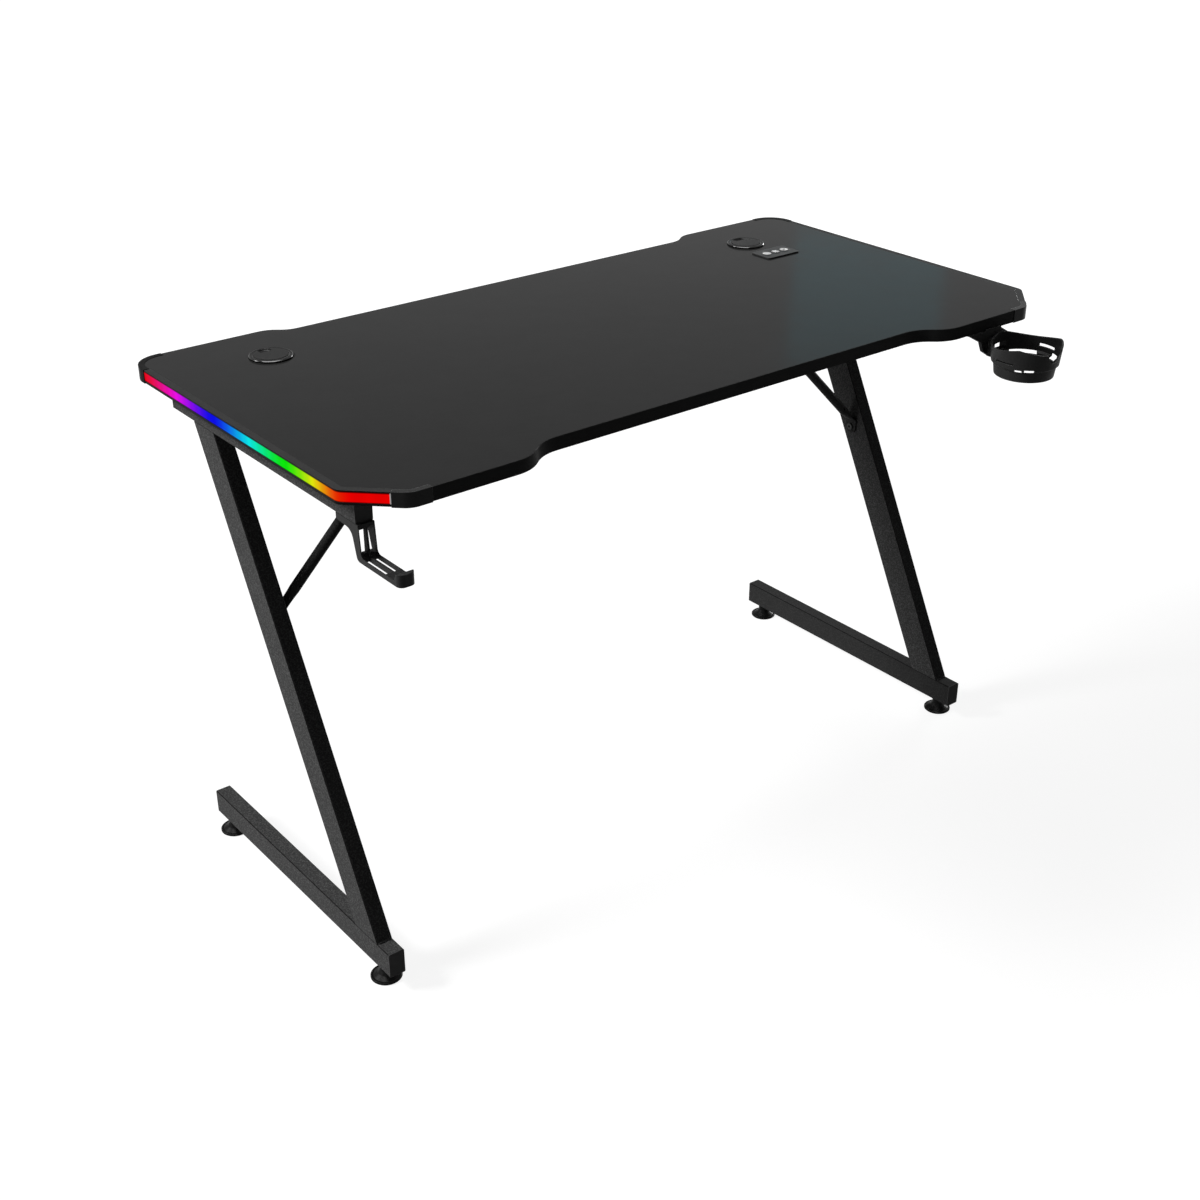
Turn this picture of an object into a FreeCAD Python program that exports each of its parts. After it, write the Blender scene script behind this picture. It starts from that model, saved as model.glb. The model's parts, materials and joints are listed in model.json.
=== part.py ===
"""Gaming desk on two Z-shaped legs, with lit side edges, a headset hook and a cup holder.

The desk stands on the XY plane with its front towards -Y. All pieces are drawn about the
middle of the tabletop and then shifted along Y, so that the origin lies under the middle
of the whole desk with its cup holder.
"""
import FreeCAD, Part
import math
import os

import Sketcher

# Driving sizes in millimetres, one cell of the sheet each
SIZES = {
    # Outline of the tabletop
    "top_width": 1200,
    "top_depth": 606,
    "top_height": 750,
    "board_thickness": 18,
    "chamfer_across": 62,
    "chamfer_along": 60,
    "side_bend_radius": 16,
    "front_bend_radius": 26,
    "rear_corner_radius": 40,
    "front_recess_depth": 31,
    "front_recess_half": 310,
    "front_curve_run": 80,
    "rear_recess_depth": 20,
    "rear_recess_half": 352,
    "rear_curve_run": 52,
    "edge_band_thickness": 1,
    # Light channels, diffusers and tapes in the side edges
    "channel_depth": 10,
    "channel_web": 2.5,
    "channel_lip_top": 1.5,
    "channel_lip_bottom": 3,
    "diffuser_setback": 0.4,
    "diffuser_thickness": 4,
    "tape_thickness": 1.5,
    # Corner caps
    "cap_proud": 0.7,
    "cap_wrap": 8,
    "cap_upper": 0.5,
    "cap_lower": 0.8,
    "front_cap_reach": 28,
    "chamfer_cap_reach": 23.5,
    "rear_cap_reach": 47,
    # Cable grommets
    "grommet_inset": 160,
    "grommet_rear_inset": 103,
    "flange_radius": 30.5,
    "flange_height": 3.2,
    "flange_round": 2.4,
    "sleeve_radius": 25.7,
    "sleeve_bore": 21.5,
    "sleeve_drop": 5,
    "seat_radius": 24.3,
    "seat_height": 1,
    "grommet_cap_thickness": 2.2,
    "notch_width": 18,
    "notch_start": 12.5,
    # Control panel with its housing
    "panel_inset": 158,
    "panel_rear_inset": 172,
    "panel_width": 68,
    "panel_depth": 42,
    "panel_thickness": 2,
    "panel_corner_radius": 4,
    "button_pitch": 19,
    "button_radius": 7.6,
    "button_collar_radius": 8.8,
    "button_collar_height": 1.6,
    "button_rise": 0.8,
    "button_play": 0.3,
    "button_travel": 1.2,
    "housing_width": 60,
    "housing_depth": 34,
    "housing_drop": 36,
    "housing_wall": 1.8,
    "housing_corner_radius": 3,
    "boss_radius": 3.2,
    "boss_inset": 6,
    "boss_y": -9,
    "control_board_drop": 22,
    "control_board_thickness": 1.6,
    "switch_side": 6.2,
    "switch_height": 4,
    "plunger_radius": 1.75,
    "inlet_width": 9,
    "inlet_height": 10,
    "inlet_length": 13,
    "inlet_bore": 3.1,
    "inlet_bore_depth": 9,
    "inlet_proud": 1,
    # Steel tubes of the legs
    "leg_inset": 28.5,
    "tube_width": 24,
    "tube_wall": 1.5,
    "tube_corner_radius": 1.8,
    "rail_height": 38,
    "top_rail_front": -231,
    "top_rail_rear": 241,
    "foot_rail_front": -233,
    "foot_rail_rear": 263,
    "foot_rail_clear": 22,
    "post_depth": 50.5,
    "post_top_y": 152.3,
    "post_bottom_y": -175.6,
    "plug_plate": 2,
    "plug_insert": 14,
    "plug_fit": 0.2,
    # Crossbeam and its end plates
    "beam_y": 33,
    "plate_thickness": 3,
    "plate_length": 66,
    "plate_bolt_spacing": 46,
    # Slanted braces
    "brace_radius": 7.5,
    "brace_wall": 1.2,
    "brace_bolt_drop": 9.3,
    "brace_head_inset": 228.5,
    "brace_flat_width": 22,
    "brace_flat_thickness": 3.2,
    "brace_taper_length": 32,
    "brace_tab_bolt": 11,
    "drain_radius": 1.5,
    # Bolts, nuts and inserts
    "bolt_radius": 3,
    "bolt_head_radius": 5.5,
    "bolt_head_height": 3.4,
    "bolt_socket_radius": 2.3,
    "bolt_socket_depth": 2,
    "bolt_grip": 9,
    "hole_clearance": 0.4,
    "thread_clearance": 0.05,
    "nut_radius": 5.8,
    "nut_height": 5,
    "insert_radius": 4.5,
    "insert_length": 12,
    "top_bolt_front": -150,
    "top_bolt_middle": 85,
    "top_bolt_rear": 215,
    # Wood and machine screws
    "screw_radius": 1.9,
    "screw_head_radius": 3.8,
    "screw_head_height": 2.4,
    "screw_socket_radius": 1.4,
    "screw_socket_depth": 1.2,
    "screw_bite": 11,
    "small_screw_bite": 5,
    # Levelling feet
    "foot_front_y": -202,
    "foot_rear_y": 234,
    "foot_radius": 22,
    "foot_rim_height": 4.6,
    "foot_rim_width": 3.2,
    "foot_edge_bevel": 1.2,
    "foot_dish_height": 4,
    "foot_flare_radius": 12,
    "foot_flare_height": 8.5,
    "foot_hub_radius": 9,
    "foot_neck_height": 13.5,
    "seat_gap": 0.2,
    "stud_radius": 4,
    "stud_length": 31,
    "foot_nut_radius": 7.5,
    "foot_nut_height": 6.5,
    "running_clearance": 0.1,
    # Headset hook under the front end of the left rail
    "hook_width": 23,
    "hook_base_length": 46,
    "hook_base_rear": 8,
    "hook_base_front": 11,
    "hook_overhang": 3.5,
    "hook_rake": 3.5,
    "hook_drop": 48,
    "hook_strap_top": 12,
    "hook_strap_foot": 2.5,
    "hook_arm_length": 90,
    "hook_arm_thickness": 6.6,
    "hook_lip_height": 16,
    "hook_lip_thickness": 8,
    "hook_lip_slope": 5,
    "hook_gusset_radius": 14,
    "hook_elbow_radius": 7,
    "hook_nose_radius": 8,
    "hook_edge_radius": 2.5,
    "hook_rim": 1.3,
    "hook_rib": 2.8,
    "hook_rib_depth": 7,
    "hook_slot_top": 5,
    "hook_slot_foot": 2.4,
    "hook_slot_front": 19,
    "hook_screw_front": 18,
    "hook_screw_pitch": 20,
    # Cup holder in front of the right half
    "cup_inset": 125,
    "cup_web_proud": 3,
    "cup_web_thickness": 6,
    "cup_web_lip": 2,
    "cup_web_left": 66,
    "cup_web_right": 4,
    "cup_web_shoulder": 38,
    "cup_web_shoulder_drop": 15.5,
    "cup_web_waist": 31,
    "cup_web_waist_drop": 31,
    "cup_web_toe": 15,
    "cup_web_toe_drop": 41,
    "cup_flange_depth": 46,
    "cup_flange_thickness": 3.5,
    "cup_flange_left": 60,
    "cup_flange_right": 4,
    "cup_flange_screw_inset": 9,
    "cup_fit": 0.3,
    "cup_rim_radius": 51.7,
    "cup_band_foot_radius": 48.6,
    "cup_step_radius": 45.2,
    "cup_base_radius": 43,
    "cup_floor_hole_radius": 31,
    "cup_floor_thickness": 3,
    "cup_wall": 2.4,
    "cup_height": 49.5,
    "cup_step_height": 18.5,
    "cup_top_drop": 5.5,
    "cup_scoop_radius": 120,
    "cup_scoop_depth": 8,
    "cup_boss_half": 23,
    "cup_boss_drop": 12,
    "cup_boss_height": 26,
    "cup_boss_screw_half": 18.5,
    "cup_rear_slot_width": 40,
    "cup_rear_slot_low": 15.5,
    "cup_rear_slot_height": 5,
    "cup_front_slot_width": 10.5,
    "cup_front_slot_low": 15,
    "cup_front_slot_height": 4.5,
    "cup_middle_slot_width": 14.5,
    "cup_middle_slot_low": 15.5,
    "cup_middle_slot_height": 5,
    "cup_right_slot_width": 17,
    "cup_right_slot_low": 15,
    "cup_right_slot_height": 9,
    "cup_high_slot_width": 29,
    "cup_high_slot_low": 28,
    "cup_high_slot_height": 4.5,
    "cup_left_slot_width": 29.7,
    "cup_left_slot_low": 25.2,
    "cup_left_slot_height": 2.6,
    "cup_notch_radius": 17,
    "cup_notch_depth": 22.5,
    "cup_window_left": 15,
    "cup_window_right": 12,
    "cup_window_low": 22.5,
    "cup_window_height": 11.5,
    "cup_screw_bite": 4,
    # Shared by all cuts and by the areas that divide the tabletop's rim
    "overrun": 2,
    "zone_reach": 30,
}

# Directions of the cup holder's slots, rim scoops and finger notch, in degrees from +X
SLOT_TURNS = {"rear": 43, "left": 180.5, "front": 206.5, "middle": 226, "right": 336.5, "high": 358}
SCOOP_TURNS = (26, 146, 266)
NOTCH_TURN = 275

FULL_TURN = 360.0
QUARTER_TURN = 90.0
HEXAGON_SIDES = 6
SIDES = {"left": -1, "right": 1}

doc = FreeCAD.newDocument("gaming_desk")
sheet = doc.addObject("Spreadsheet::Sheet", "Dims")
for row, (alias, amount) in enumerate(SIZES.items(), start=1):
    sheet.set(f"A{row}", alias)
    sheet.set(f"B{row}", str(amount))
    sheet.setAlias(f"B{row}", alias)
doc.recompute()


class Size:
    """A size that knows its spreadsheet expression and its present value."""

    def __init__(self, text, value):
        self.text = text
        self.value = value

    def __add__(self, other):
        return Size(f"({self.text} + {text_of(other)})", self.value + value_of(other))

    def __sub__(self, other):
        return Size(f"({self.text} - {text_of(other)})", self.value - value_of(other))

    def __mul__(self, other):
        return Size(f"({self.text} * {text_of(other)})", self.value * value_of(other))

    def __truediv__(self, other):
        return Size(f"({self.text} / {text_of(other)})", self.value / value_of(other))

    def __neg__(self):
        return Size(f"(-1 * {self.text})", -self.value)

    def __radd__(self, other):
        return self + other

    def __rsub__(self, other):
        return Size(f"({text_of(other)} - {self.text})", value_of(other) - self.value)

    def __rmul__(self, other):
        return self * other


def text_of(size):
    """Give the expression of a size, or a plain number as text."""
    return size.text if isinstance(size, Size) else f"({size})"


def value_of(size):
    """Give the present value of a size or of a plain number."""
    return size.value if isinstance(size, Size) else float(size)


def root(size):
    """Square root of a size."""
    return Size(f"sqrt({size.text})", math.sqrt(size.value))


def arctangent(size):
    """Angle in degrees whose tangent is the given ratio."""
    return Size(f"(atan({size.text}) / 1 deg)", math.degrees(math.atan(size.value)))


def tangent(angle):
    """Tangent of an angle in degrees."""
    return Size(f"tan({angle.text})", math.tan(math.radians(angle.value)))


class Dims:
    """Gives each cell of the sheet as a Size under the cell's own name."""

    def __getattr__(self, name):
        return Size(f"Dims.{name}", float(sheet.get(name)))


d = Dims()


# Sketches, solids and booleans

def bind(item, prop, size):
    """Bind a property to the sheet."""
    item.setExpression(prop, text_of(size))


def place(item, x=0, y=0, z=0):
    """Bind the coordinates of an object's Placement to the sheet."""
    for axis, size in zip("xyz", (x, y, z)):
        if isinstance(size, Size):
            bind(item, f"Placement.Base.{axis}", size)


def flat_arc(start, end, radius, turn):
    """Arc of less than half a circle from start to end; turn is 1 to the left and -1 to the right."""
    chord = end - start
    across = FreeCAD.Vector(-chord.y, chord.x, 0)
    across.normalize()
    rise = math.sqrt(max(radius ** 2 - (chord.Length / 2) ** 2, 0))
    centre = (start + end) / 2 + across * turn * rise
    first, last = (start, end) if turn > 0 else (end, start)
    angles = [math.atan2(point.y - centre.y, point.x - centre.x) for point in (first, last)]
    circle = Part.Circle(centre, FreeCAD.Vector(0, 0, 1), radius)
    return Part.ArcOfCircle(circle, angles[0], angles[1])


def pin_point(sketch, edge, end, x, y):
    """Hold one end of a sketch edge at bound coordinates."""
    for kind, axis, size in (("DistanceX", -2, x), ("DistanceY", -1, y)):
        if isinstance(size, Size):
            index = sketch.addConstraint(Sketcher.Constraint(kind, -1, 1, edge, end, size.value))
            bind(sketch, f"Constraints[{index}]", size)
        else:
            sketch.addConstraint(Sketcher.Constraint("PointOnObject", edge, end, axis))


def outline(sketch, corners):
    """Draw a closed outline: (x, y) starts a line, (x, y, radius, turn) starts an arc."""
    points = [FreeCAD.Vector(value_of(corner[0]), value_of(corner[1]), 0) for corner in corners]
    ends = []
    for index, corner in enumerate(corners):
        start = points[index]
        end = points[(index + 1) % len(points)]
        if len(corner) == 2:
            edge = sketch.addGeometry(Part.LineSegment(start, end), False)
            ends.append((edge, 1, 2))
            continue
        radius, turn = corner[2:]
        edge = sketch.addGeometry(flat_arc(start, end, radius.value, turn), False)
        constraint = sketch.addConstraint(Sketcher.Constraint("Radius", edge, radius.value))
        bind(sketch, f"Constraints[{constraint}]", radius)
        ends.append((edge, 1, 2) if turn > 0 else (edge, 2, 1))
    for index, (edge, start, end) in enumerate(ends):
        following, joined = ends[(index + 1) % len(ends)][:2]
        sketch.addConstraint(Sketcher.Constraint("Coincident", edge, end, following, joined))
        pin_point(sketch, edge, start, corners[index][0], corners[index][1])


def rounded_rectangle(x0, y0, x1, y1, radius):
    """Corners of a rectangle with round corners."""
    return [
        (x0 + radius, y0), (x1 - radius, y0, radius, 1),
        (x1, y0 + radius), (x1, y1 - radius, radius, 1),
        (x1 - radius, y1), (x0 + radius, y1, radius, 1),
        (x0, y1 - radius), (x0, y0 + radius, radius, 1),
    ]


def sketch_in(body, plane, name, offset=0):
    """Sketch on one of the body's own origin planes, moved along its normal by an offset."""
    sketch = body.newObject("Sketcher::SketchObject", name)
    support = [feature for feature in body.Origin.OriginFeatures if feature.Role == plane][0]
    sketch.AttachmentSupport = [(support, "")]
    sketch.MapMode = "FlatFace"
    if isinstance(offset, Size):
        bind(sketch, "AttachmentOffset.Base.z", offset)
    return sketch


def padded(name, plane, outlines, length, reverse=False, offset=0):
    """Body with one pad of the given outlines; a second outline inside the first is a hole."""
    body = doc.addObject("PartDesign::Body", name)
    sketch = sketch_in(body, plane, name + "_sketch", offset)
    for corners in outlines:
        outline(sketch, corners)
    pad = body.newObject("PartDesign::Pad", name + "_pad")
    pad.Profile = sketch
    pad.Reversed = reverse
    bind(pad, "Length", length)
    return body


def turned(name, corners):
    """Body of revolution about Z, from an outline of radii and heights."""
    body = doc.addObject("PartDesign::Body", name)
    sketch = sketch_in(body, "XZ_Plane", name + "_sketch")
    outline(sketch, corners)
    revolution = body.newObject("PartDesign::Revolution", name + "_turn")
    revolution.Profile = sketch
    revolution.ReferenceAxis = (sketch, ["V_Axis"])
    revolution.Angle = FULL_TURN
    return body


def rounded(body, name, radius, wanted):
    """Fillet those edges of a body that a test on their ends and middle picks out."""
    doc.recompute()
    base = body.Tip
    names = [f"Edge{index}" for index, edge in enumerate(base.Shape.Edges, start=1) if wanted(edge)]
    fillet = body.newObject("PartDesign::Fillet", name)
    fillet.Base = (base, names)
    bind(fillet, "Radius", radius)


def box(name, x0, y0, z0, x1, y1, z1):
    """Block between two corners."""
    item = doc.addObject("Part::Box", name)
    for prop, low, high in (("Length", x0, x1), ("Width", y0, y1), ("Height", z0, z1)):
        bind(item, prop, high - low)
    place(item, x0, y0, z0)
    return item


POINTING = {
    "up": FreeCAD.Rotation(),
    "down": FreeCAD.Rotation(FreeCAD.Vector(1, 0, 0), 2 * QUARTER_TURN),
    "right": FreeCAD.Rotation(FreeCAD.Vector(0, 1, 0), QUARTER_TURN),
    "left": FreeCAD.Rotation(FreeCAD.Vector(0, 1, 0), -QUARTER_TURN),
    "back": FreeCAD.Rotation(FreeCAD.Vector(1, 0, 0), -QUARTER_TURN),
    "front": FreeCAD.Rotation(FreeCAD.Vector(1, 0, 0), QUARTER_TURN),
}


def point(item, way):
    """Turn an object that is drawn upright so that its top points the given way."""
    item.Placement = FreeCAD.Placement(FreeCAD.Vector(), POINTING[way])


def rod(name, x, y, z, radius, length, way="up"):
    """Cylinder that starts at a point and runs the given way."""
    item = doc.addObject("Part::Cylinder", name)
    point(item, way)
    bind(item, "Radius", radius)
    bind(item, "Height", length)
    place(item, x, y, z)
    return item


def hexagon(name, x, y, z, radius, length, way="up"):
    """Six-sided prism that starts at a point and runs the given way."""
    item = doc.addObject("Part::Prism", name)
    item.Polygon = HEXAGON_SIDES
    point(item, way)
    bind(item, "Circumradius", radius)
    bind(item, "Height", length)
    place(item, x, y, z)
    return item


def group(name, items):
    """Several separate solids as one object."""
    item = doc.addObject("Part::Compound", name)
    item.Links = items
    return item


def cut(name, base, tools):
    """Take tools away from a base; the tools don't touch each other."""
    item = doc.addObject("Part::Cut", name)
    item.Base = base
    item.Tool = tools[0] if len(tools) == 1 else group(name + "_tools", tools)
    return item


def fused(name, items):
    """Join solids into one."""
    item = doc.addObject("Part::MultiFuse", name)
    item.Shapes = items
    return item


def shared(name, first, second):
    """Keep what two solids have in common."""
    item = doc.addObject("Part::MultiCommon", name)
    item.Shapes = [first, second]
    return item


def slab(name, profile, low, height):
    """Extrude a flat profile upwards from a height."""
    item = doc.addObject("Part::Extrusion", name)
    item.Base = profile
    item.DirMode = "Custom"
    item.Dir = FreeCAD.Vector(0, 0, 1)
    item.Solid = True
    bind(item, "LengthFwd", height)
    place(item, z=low)
    return item


def flat_sketch(name, corners):
    """Free sketch on the XY plane."""
    sketch = doc.addObject("Sketcher::SketchObject", name)
    outline(sketch, corners)
    return sketch


def offset_outline(name, profile, distance):
    """Parallel outline, outwards for a positive distance."""
    item = doc.addObject("Part::Offset2D", name)
    item.Source = profile
    item.Join = "Arc"
    bind(item, "Value", distance)
    return item


sub_parts = []


def finish(item, label, x=0, y=0, z=0):
    """Register a sub-part under its own label, shifted with the whole desk."""
    item.Label = label
    place(item, x, centre_shift + y, z)
    sub_parts.append(item)


# Fasteners, drawn upright with the head's underside at the start point

def fastener(name, x, y, z, way, kind, length):
    """Bolt or screw with a round head and a hexagon socket, its tip pointing the given way."""
    radius = getattr(d, kind + "_radius")
    head_radius = getattr(d, kind + "_head_radius")
    head_height = getattr(d, kind + "_head_height")
    socket_radius = getattr(d, kind + "_socket_radius")
    socket_depth = getattr(d, kind + "_socket_depth")
    head = rod(name + "_head", 0, 0, -head_height, head_radius, head_height)
    shank = rod(name + "_shank", 0, 0, 0, radius, length)
    blank = fused(name + "_blank", [head, shank])
    socket = hexagon(name + "_socket", 0, 0, -head_height, socket_radius, socket_depth)
    item = cut(name, blank, [socket])
    point(item, way)
    place(item, x, y, z)
    return item


def nut(name, x, y, z, way, radius, height, bore):
    """Hexagon nut that starts at a point and runs the given way."""
    blank = hexagon(name + "_blank", 0, 0, 0, radius, height)
    item = cut(name, blank, [rod(name + "_bore", 0, 0, 0, bore, height)])
    point(item, way)
    place(item, x, y, z)
    return item


# Places that several pieces share

half_width = d.top_width / 2
half_depth = d.top_depth / 2
top_under = d.top_height - d.board_thickness
leg_x = half_width - d.leg_inset - d.tube_width / 2
leg_inner_x = leg_x - d.tube_width / 2
grommet_x = half_width - d.grommet_inset
grommet_y = half_depth - d.grommet_rear_inset
panel_x = half_width - d.panel_inset
panel_y = half_depth - d.panel_rear_inset
cup_x = half_width - d.cup_inset
rail_under = top_under - d.rail_height
foot_rail_top = d.foot_rail_clear + d.rail_height
bolt_hole = d.bolt_radius + d.hole_clearance
screw_hole = d.screw_radius + d.hole_clearance
screw_pilot = d.screw_radius + d.thread_clearance
bolt_thread = d.bolt_radius + d.thread_clearance
cup_y = -(half_depth + d.cup_web_proud + d.cup_fit + d.cup_rim_radius)
front_reach = d.cup_rim_radius - cup_y
rear_reach = half_depth + d.cap_proud
centre_shift = (front_reach - rear_reach) / 2

# Outline of the tabletop: right half from the front recess round to the rear recess

chamfer_length = root(d.chamfer_across * d.chamfer_across + d.chamfer_along * d.chamfer_along)
along_x = d.chamfer_across / chamfer_length
along_y = d.chamfer_along / chamfer_length
front_trim = d.front_bend_radius * tangent(arctangent(d.chamfer_along / d.chamfer_across) / 2)
side_trim = d.side_bend_radius * tangent(arctangent(d.chamfer_across / d.chamfer_along) / 2)
front_corner_x = half_width - d.chamfer_across
side_corner_y = d.chamfer_along - half_depth


def curve_radius(run, depth):
    """Radius of two equal arcs that lead smoothly from one straight to a parallel one."""
    return (run * run + depth * depth) / (4 * depth)


front_curve = curve_radius(d.front_curve_run, d.front_recess_depth)
rear_curve = curve_radius(d.rear_curve_run, d.rear_recess_depth)
right_half = [
    (d.front_recess_half, d.front_recess_depth - half_depth, front_curve, -1),
    (d.front_recess_half + d.front_curve_run / 2, d.front_recess_depth / 2 - half_depth, front_curve, 1),
    (d.front_recess_half + d.front_curve_run, -half_depth),
    (front_corner_x - front_trim, -half_depth, d.front_bend_radius, 1),
    (front_corner_x + front_trim * along_x, front_trim * along_y - half_depth),
    (half_width - side_trim * along_x, side_corner_y - side_trim * along_y, d.side_bend_radius, 1),
    (half_width, side_corner_y + side_trim),
    (half_width, half_depth - d.rear_corner_radius, d.rear_corner_radius, 1),
    (half_width - d.rear_corner_radius, half_depth),
    (d.rear_recess_half + d.rear_curve_run, half_depth, rear_curve, 1),
    (d.rear_recess_half + d.rear_curve_run / 2, half_depth - d.rear_recess_depth / 2, rear_curve, -1),
    (d.rear_recess_half, half_depth - d.rear_recess_depth),
]
left_half = []
for index in reversed(range(len(right_half))):
    corner = right_half[index]
    leading_arc = right_half[index - 1][2:] if index > 0 else ()
    left_half.append((-corner[0], corner[1]) + tuple(leading_arc))
top_outline = flat_sketch("top_outline", right_half + left_half)

# Tabletop: one slab, whose rim is shared out to board, bands, channels and caps

top_slab = slab("top_slab", top_outline, top_under, d.board_thickness)


def inset_slab(name, distance, low=top_under, height=d.board_thickness):
    """Slab whose outline lies a distance inside the tabletop's."""
    return slab(name, offset_outline(name + "_outline", top_outline, -distance), low, height)


groove_low = top_under + d.channel_lip_bottom
groove_height = d.board_thickness - d.channel_lip_bottom - d.channel_lip_top
groove_depth = d.channel_depth - d.channel_web
cap_outline = offset_outline("cap_outline", top_outline, d.cap_proud)
cap_low = top_under - d.cap_lower
cap_height = d.board_thickness + d.cap_lower + d.cap_upper
cap_blank = slab("cap_blank", cap_outline, cap_low, cap_height)
cap_shell = cut("cap_shell", cap_blank, [top_slab])
cap_ring = cut("cap_ring", cap_shell, [inset_slab("cap_core", d.cap_wrap, cap_low, cap_height)])

channel_ring = cut("channel_ring", top_slab, [inset_slab("channel_core", d.channel_depth)])
groove_core = inset_slab("groove_core", groove_depth, groove_low, groove_height)
groove_ring = cut("groove_ring", slab("groove_blank", cap_outline, groove_low, groove_height), [groove_core])
diffuser_ring = cut(
    "diffuser_ring",
    inset_slab("diffuser_face", d.diffuser_setback, groove_low, groove_height),
    [inset_slab("diffuser_core", d.diffuser_setback + d.diffuser_thickness, groove_low, groove_height)],
)
tape_ring = cut(
    "tape_ring",
    inset_slab("tape_face", groove_depth - d.tape_thickness, groove_low, groove_height),
    [groove_core],
)
band_ring = cut("band_ring", top_slab, [inset_slab("band_core", d.edge_band_thickness)])

front_band_half = front_corner_x - d.front_cap_reach
rear_band_half = half_width - d.rear_cap_reach
zone_low = cap_low - d.overrun
zone_height = cap_height + 2 * d.overrun
front_zone = box("front_zone", -front_band_half, -half_depth - d.overrun, zone_low,
                 front_band_half, 0, zone_low + zone_height)
rear_zone = box("rear_zone", -rear_band_half, 0, zone_low,
                rear_band_half, half_depth + d.overrun, zone_low + zone_height)
front_band_room = shared("front_band_room", band_ring, front_zone)
rear_band_room = shared("rear_band_room", band_ring, rear_zone)
finish(shared("front_band", band_ring, front_zone), "front_edge_band")
finish(shared("rear_band", band_ring, rear_zone), "rear_edge_band")

rear_cap_y = half_depth - d.rear_cap_reach
channel_blanks = []
for side, sign in SIDES.items():
    # The cut across the chamfer where the light channel ends and the front cap begins
    cut_x = front_corner_x + d.chamfer_cap_reach * along_x
    cut_y = d.chamfer_cap_reach * along_y - half_depth
    inner = (sign * (cut_x - d.zone_reach * along_y), cut_y + d.zone_reach * along_x)
    outer = (sign * (cut_x + d.zone_reach * along_y), cut_y - d.zone_reach * along_x)
    light_corners = [
        (sign * (half_width + d.zone_reach), rear_cap_y),
        (sign * (half_width + d.zone_reach), outer[1]),
        outer,
        inner,
        (sign * (half_width - d.zone_reach), rear_cap_y),
    ]
    light_area = flat_sketch(f"light_area_{side}", light_corners)
    light_zone = slab(f"light_zone_{side}", light_area, zone_low, zone_height)
    blank = shared(f"channel_blank_{side}", channel_ring, light_zone)
    channel_blanks.append(blank)
    finish(cut(f"channel_{side}", blank, [groove_ring]), f"light_channel_{side}")
    finish(shared(f"diffuser_{side}", diffuser_ring, light_zone), f"light_diffuser_{side}")
    finish(shared(f"tape_{side}", tape_ring, light_zone), f"led_tape_{side}")
    cap_corners = [
        inner,
        outer,
        (outer[0], -half_depth - d.zone_reach),
        (sign * front_band_half, -half_depth - d.zone_reach),
        (sign * front_band_half, inner[1]),
    ]
    cap_area = flat_sketch(f"cap_area_{side}", cap_corners)
    cap_zone = slab(f"cap_zone_{side}", cap_area, zone_low, zone_height)
    finish(shared(f"front_cap_{side}", cap_ring, cap_zone), f"corner_cap_front_{side}")
    edges = sorted((sign * rear_band_half, sign * (half_width + d.zone_reach)), key=value_of)
    corner_zone = box(f"corner_zone_{side}", edges[0], rear_cap_y, zone_low,
                      edges[1], half_depth + d.zone_reach, zone_low + zone_height)
    finish(shared(f"rear_cap_{side}", cap_ring, corner_zone), f"corner_cap_rear_{side}")

# Openings in the board

board_holes = []
grommet_hole = d.sleeve_radius + d.hole_clearance
cut_low = top_under - d.overrun
cut_height = d.board_thickness + 2 * d.overrun
top_bolt_places = []
for side, sign in SIDES.items():
    board_holes.append(rod(f"grommet_hole_{side}", sign * grommet_x, grommet_y, cut_low,
                           grommet_hole, cut_height))
    for spot in ("front", "middle", "rear"):
        top_bolt_places.append((f"{spot}_{side}", sign * leg_x, getattr(d, f"top_bolt_{spot}")))
for name, x, y in top_bolt_places:
    board_holes.append(rod(f"insert_hole_{name}", x, y, top_under, d.insert_radius + d.thread_clearance,
                           d.insert_length + d.overrun))

housing_gap_x = d.housing_width / 2 + d.hole_clearance
housing_gap_y = d.housing_depth / 2 + d.hole_clearance
board_holes.append(box("panel_hole", panel_x - housing_gap_x, panel_y - housing_gap_y, cut_low,
                       panel_x + housing_gap_x, panel_y + housing_gap_y, cut_low + cut_height))

bracket_rear_y = d.cup_flange_depth - d.cup_web_thickness + d.cup_web_proud - half_depth
bracket_screws = []
flange_left_x = cup_x - d.cup_flange_left
flange_right_x = cup_x + d.cup_flange_right
for column, x in (("left", flange_left_x + d.cup_flange_screw_inset),
                  ("right", flange_right_x - d.cup_flange_screw_inset)):
    for spot, y in (("front", d.cup_web_proud + d.cup_flange_screw_inset - half_depth),
                    ("rear", bracket_rear_y - d.cup_flange_screw_inset)):
        bracket_screws.append((f"{spot}_{column}", x, y))
bite = d.screw_bite - d.cup_flange_thickness
for name, x, y in bracket_screws:
    board_holes.append(rod(f"pilot_{name}", x, y, top_under, screw_pilot, bite))

board = cut("board", top_slab, channel_blanks + [front_band_room, rear_band_room])
finish(cut("drilled_board", board, board_holes), "tabletop_board")

# Cable grommets: a flanged sleeve with a seat, and a notched cap that turns in it

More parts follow.
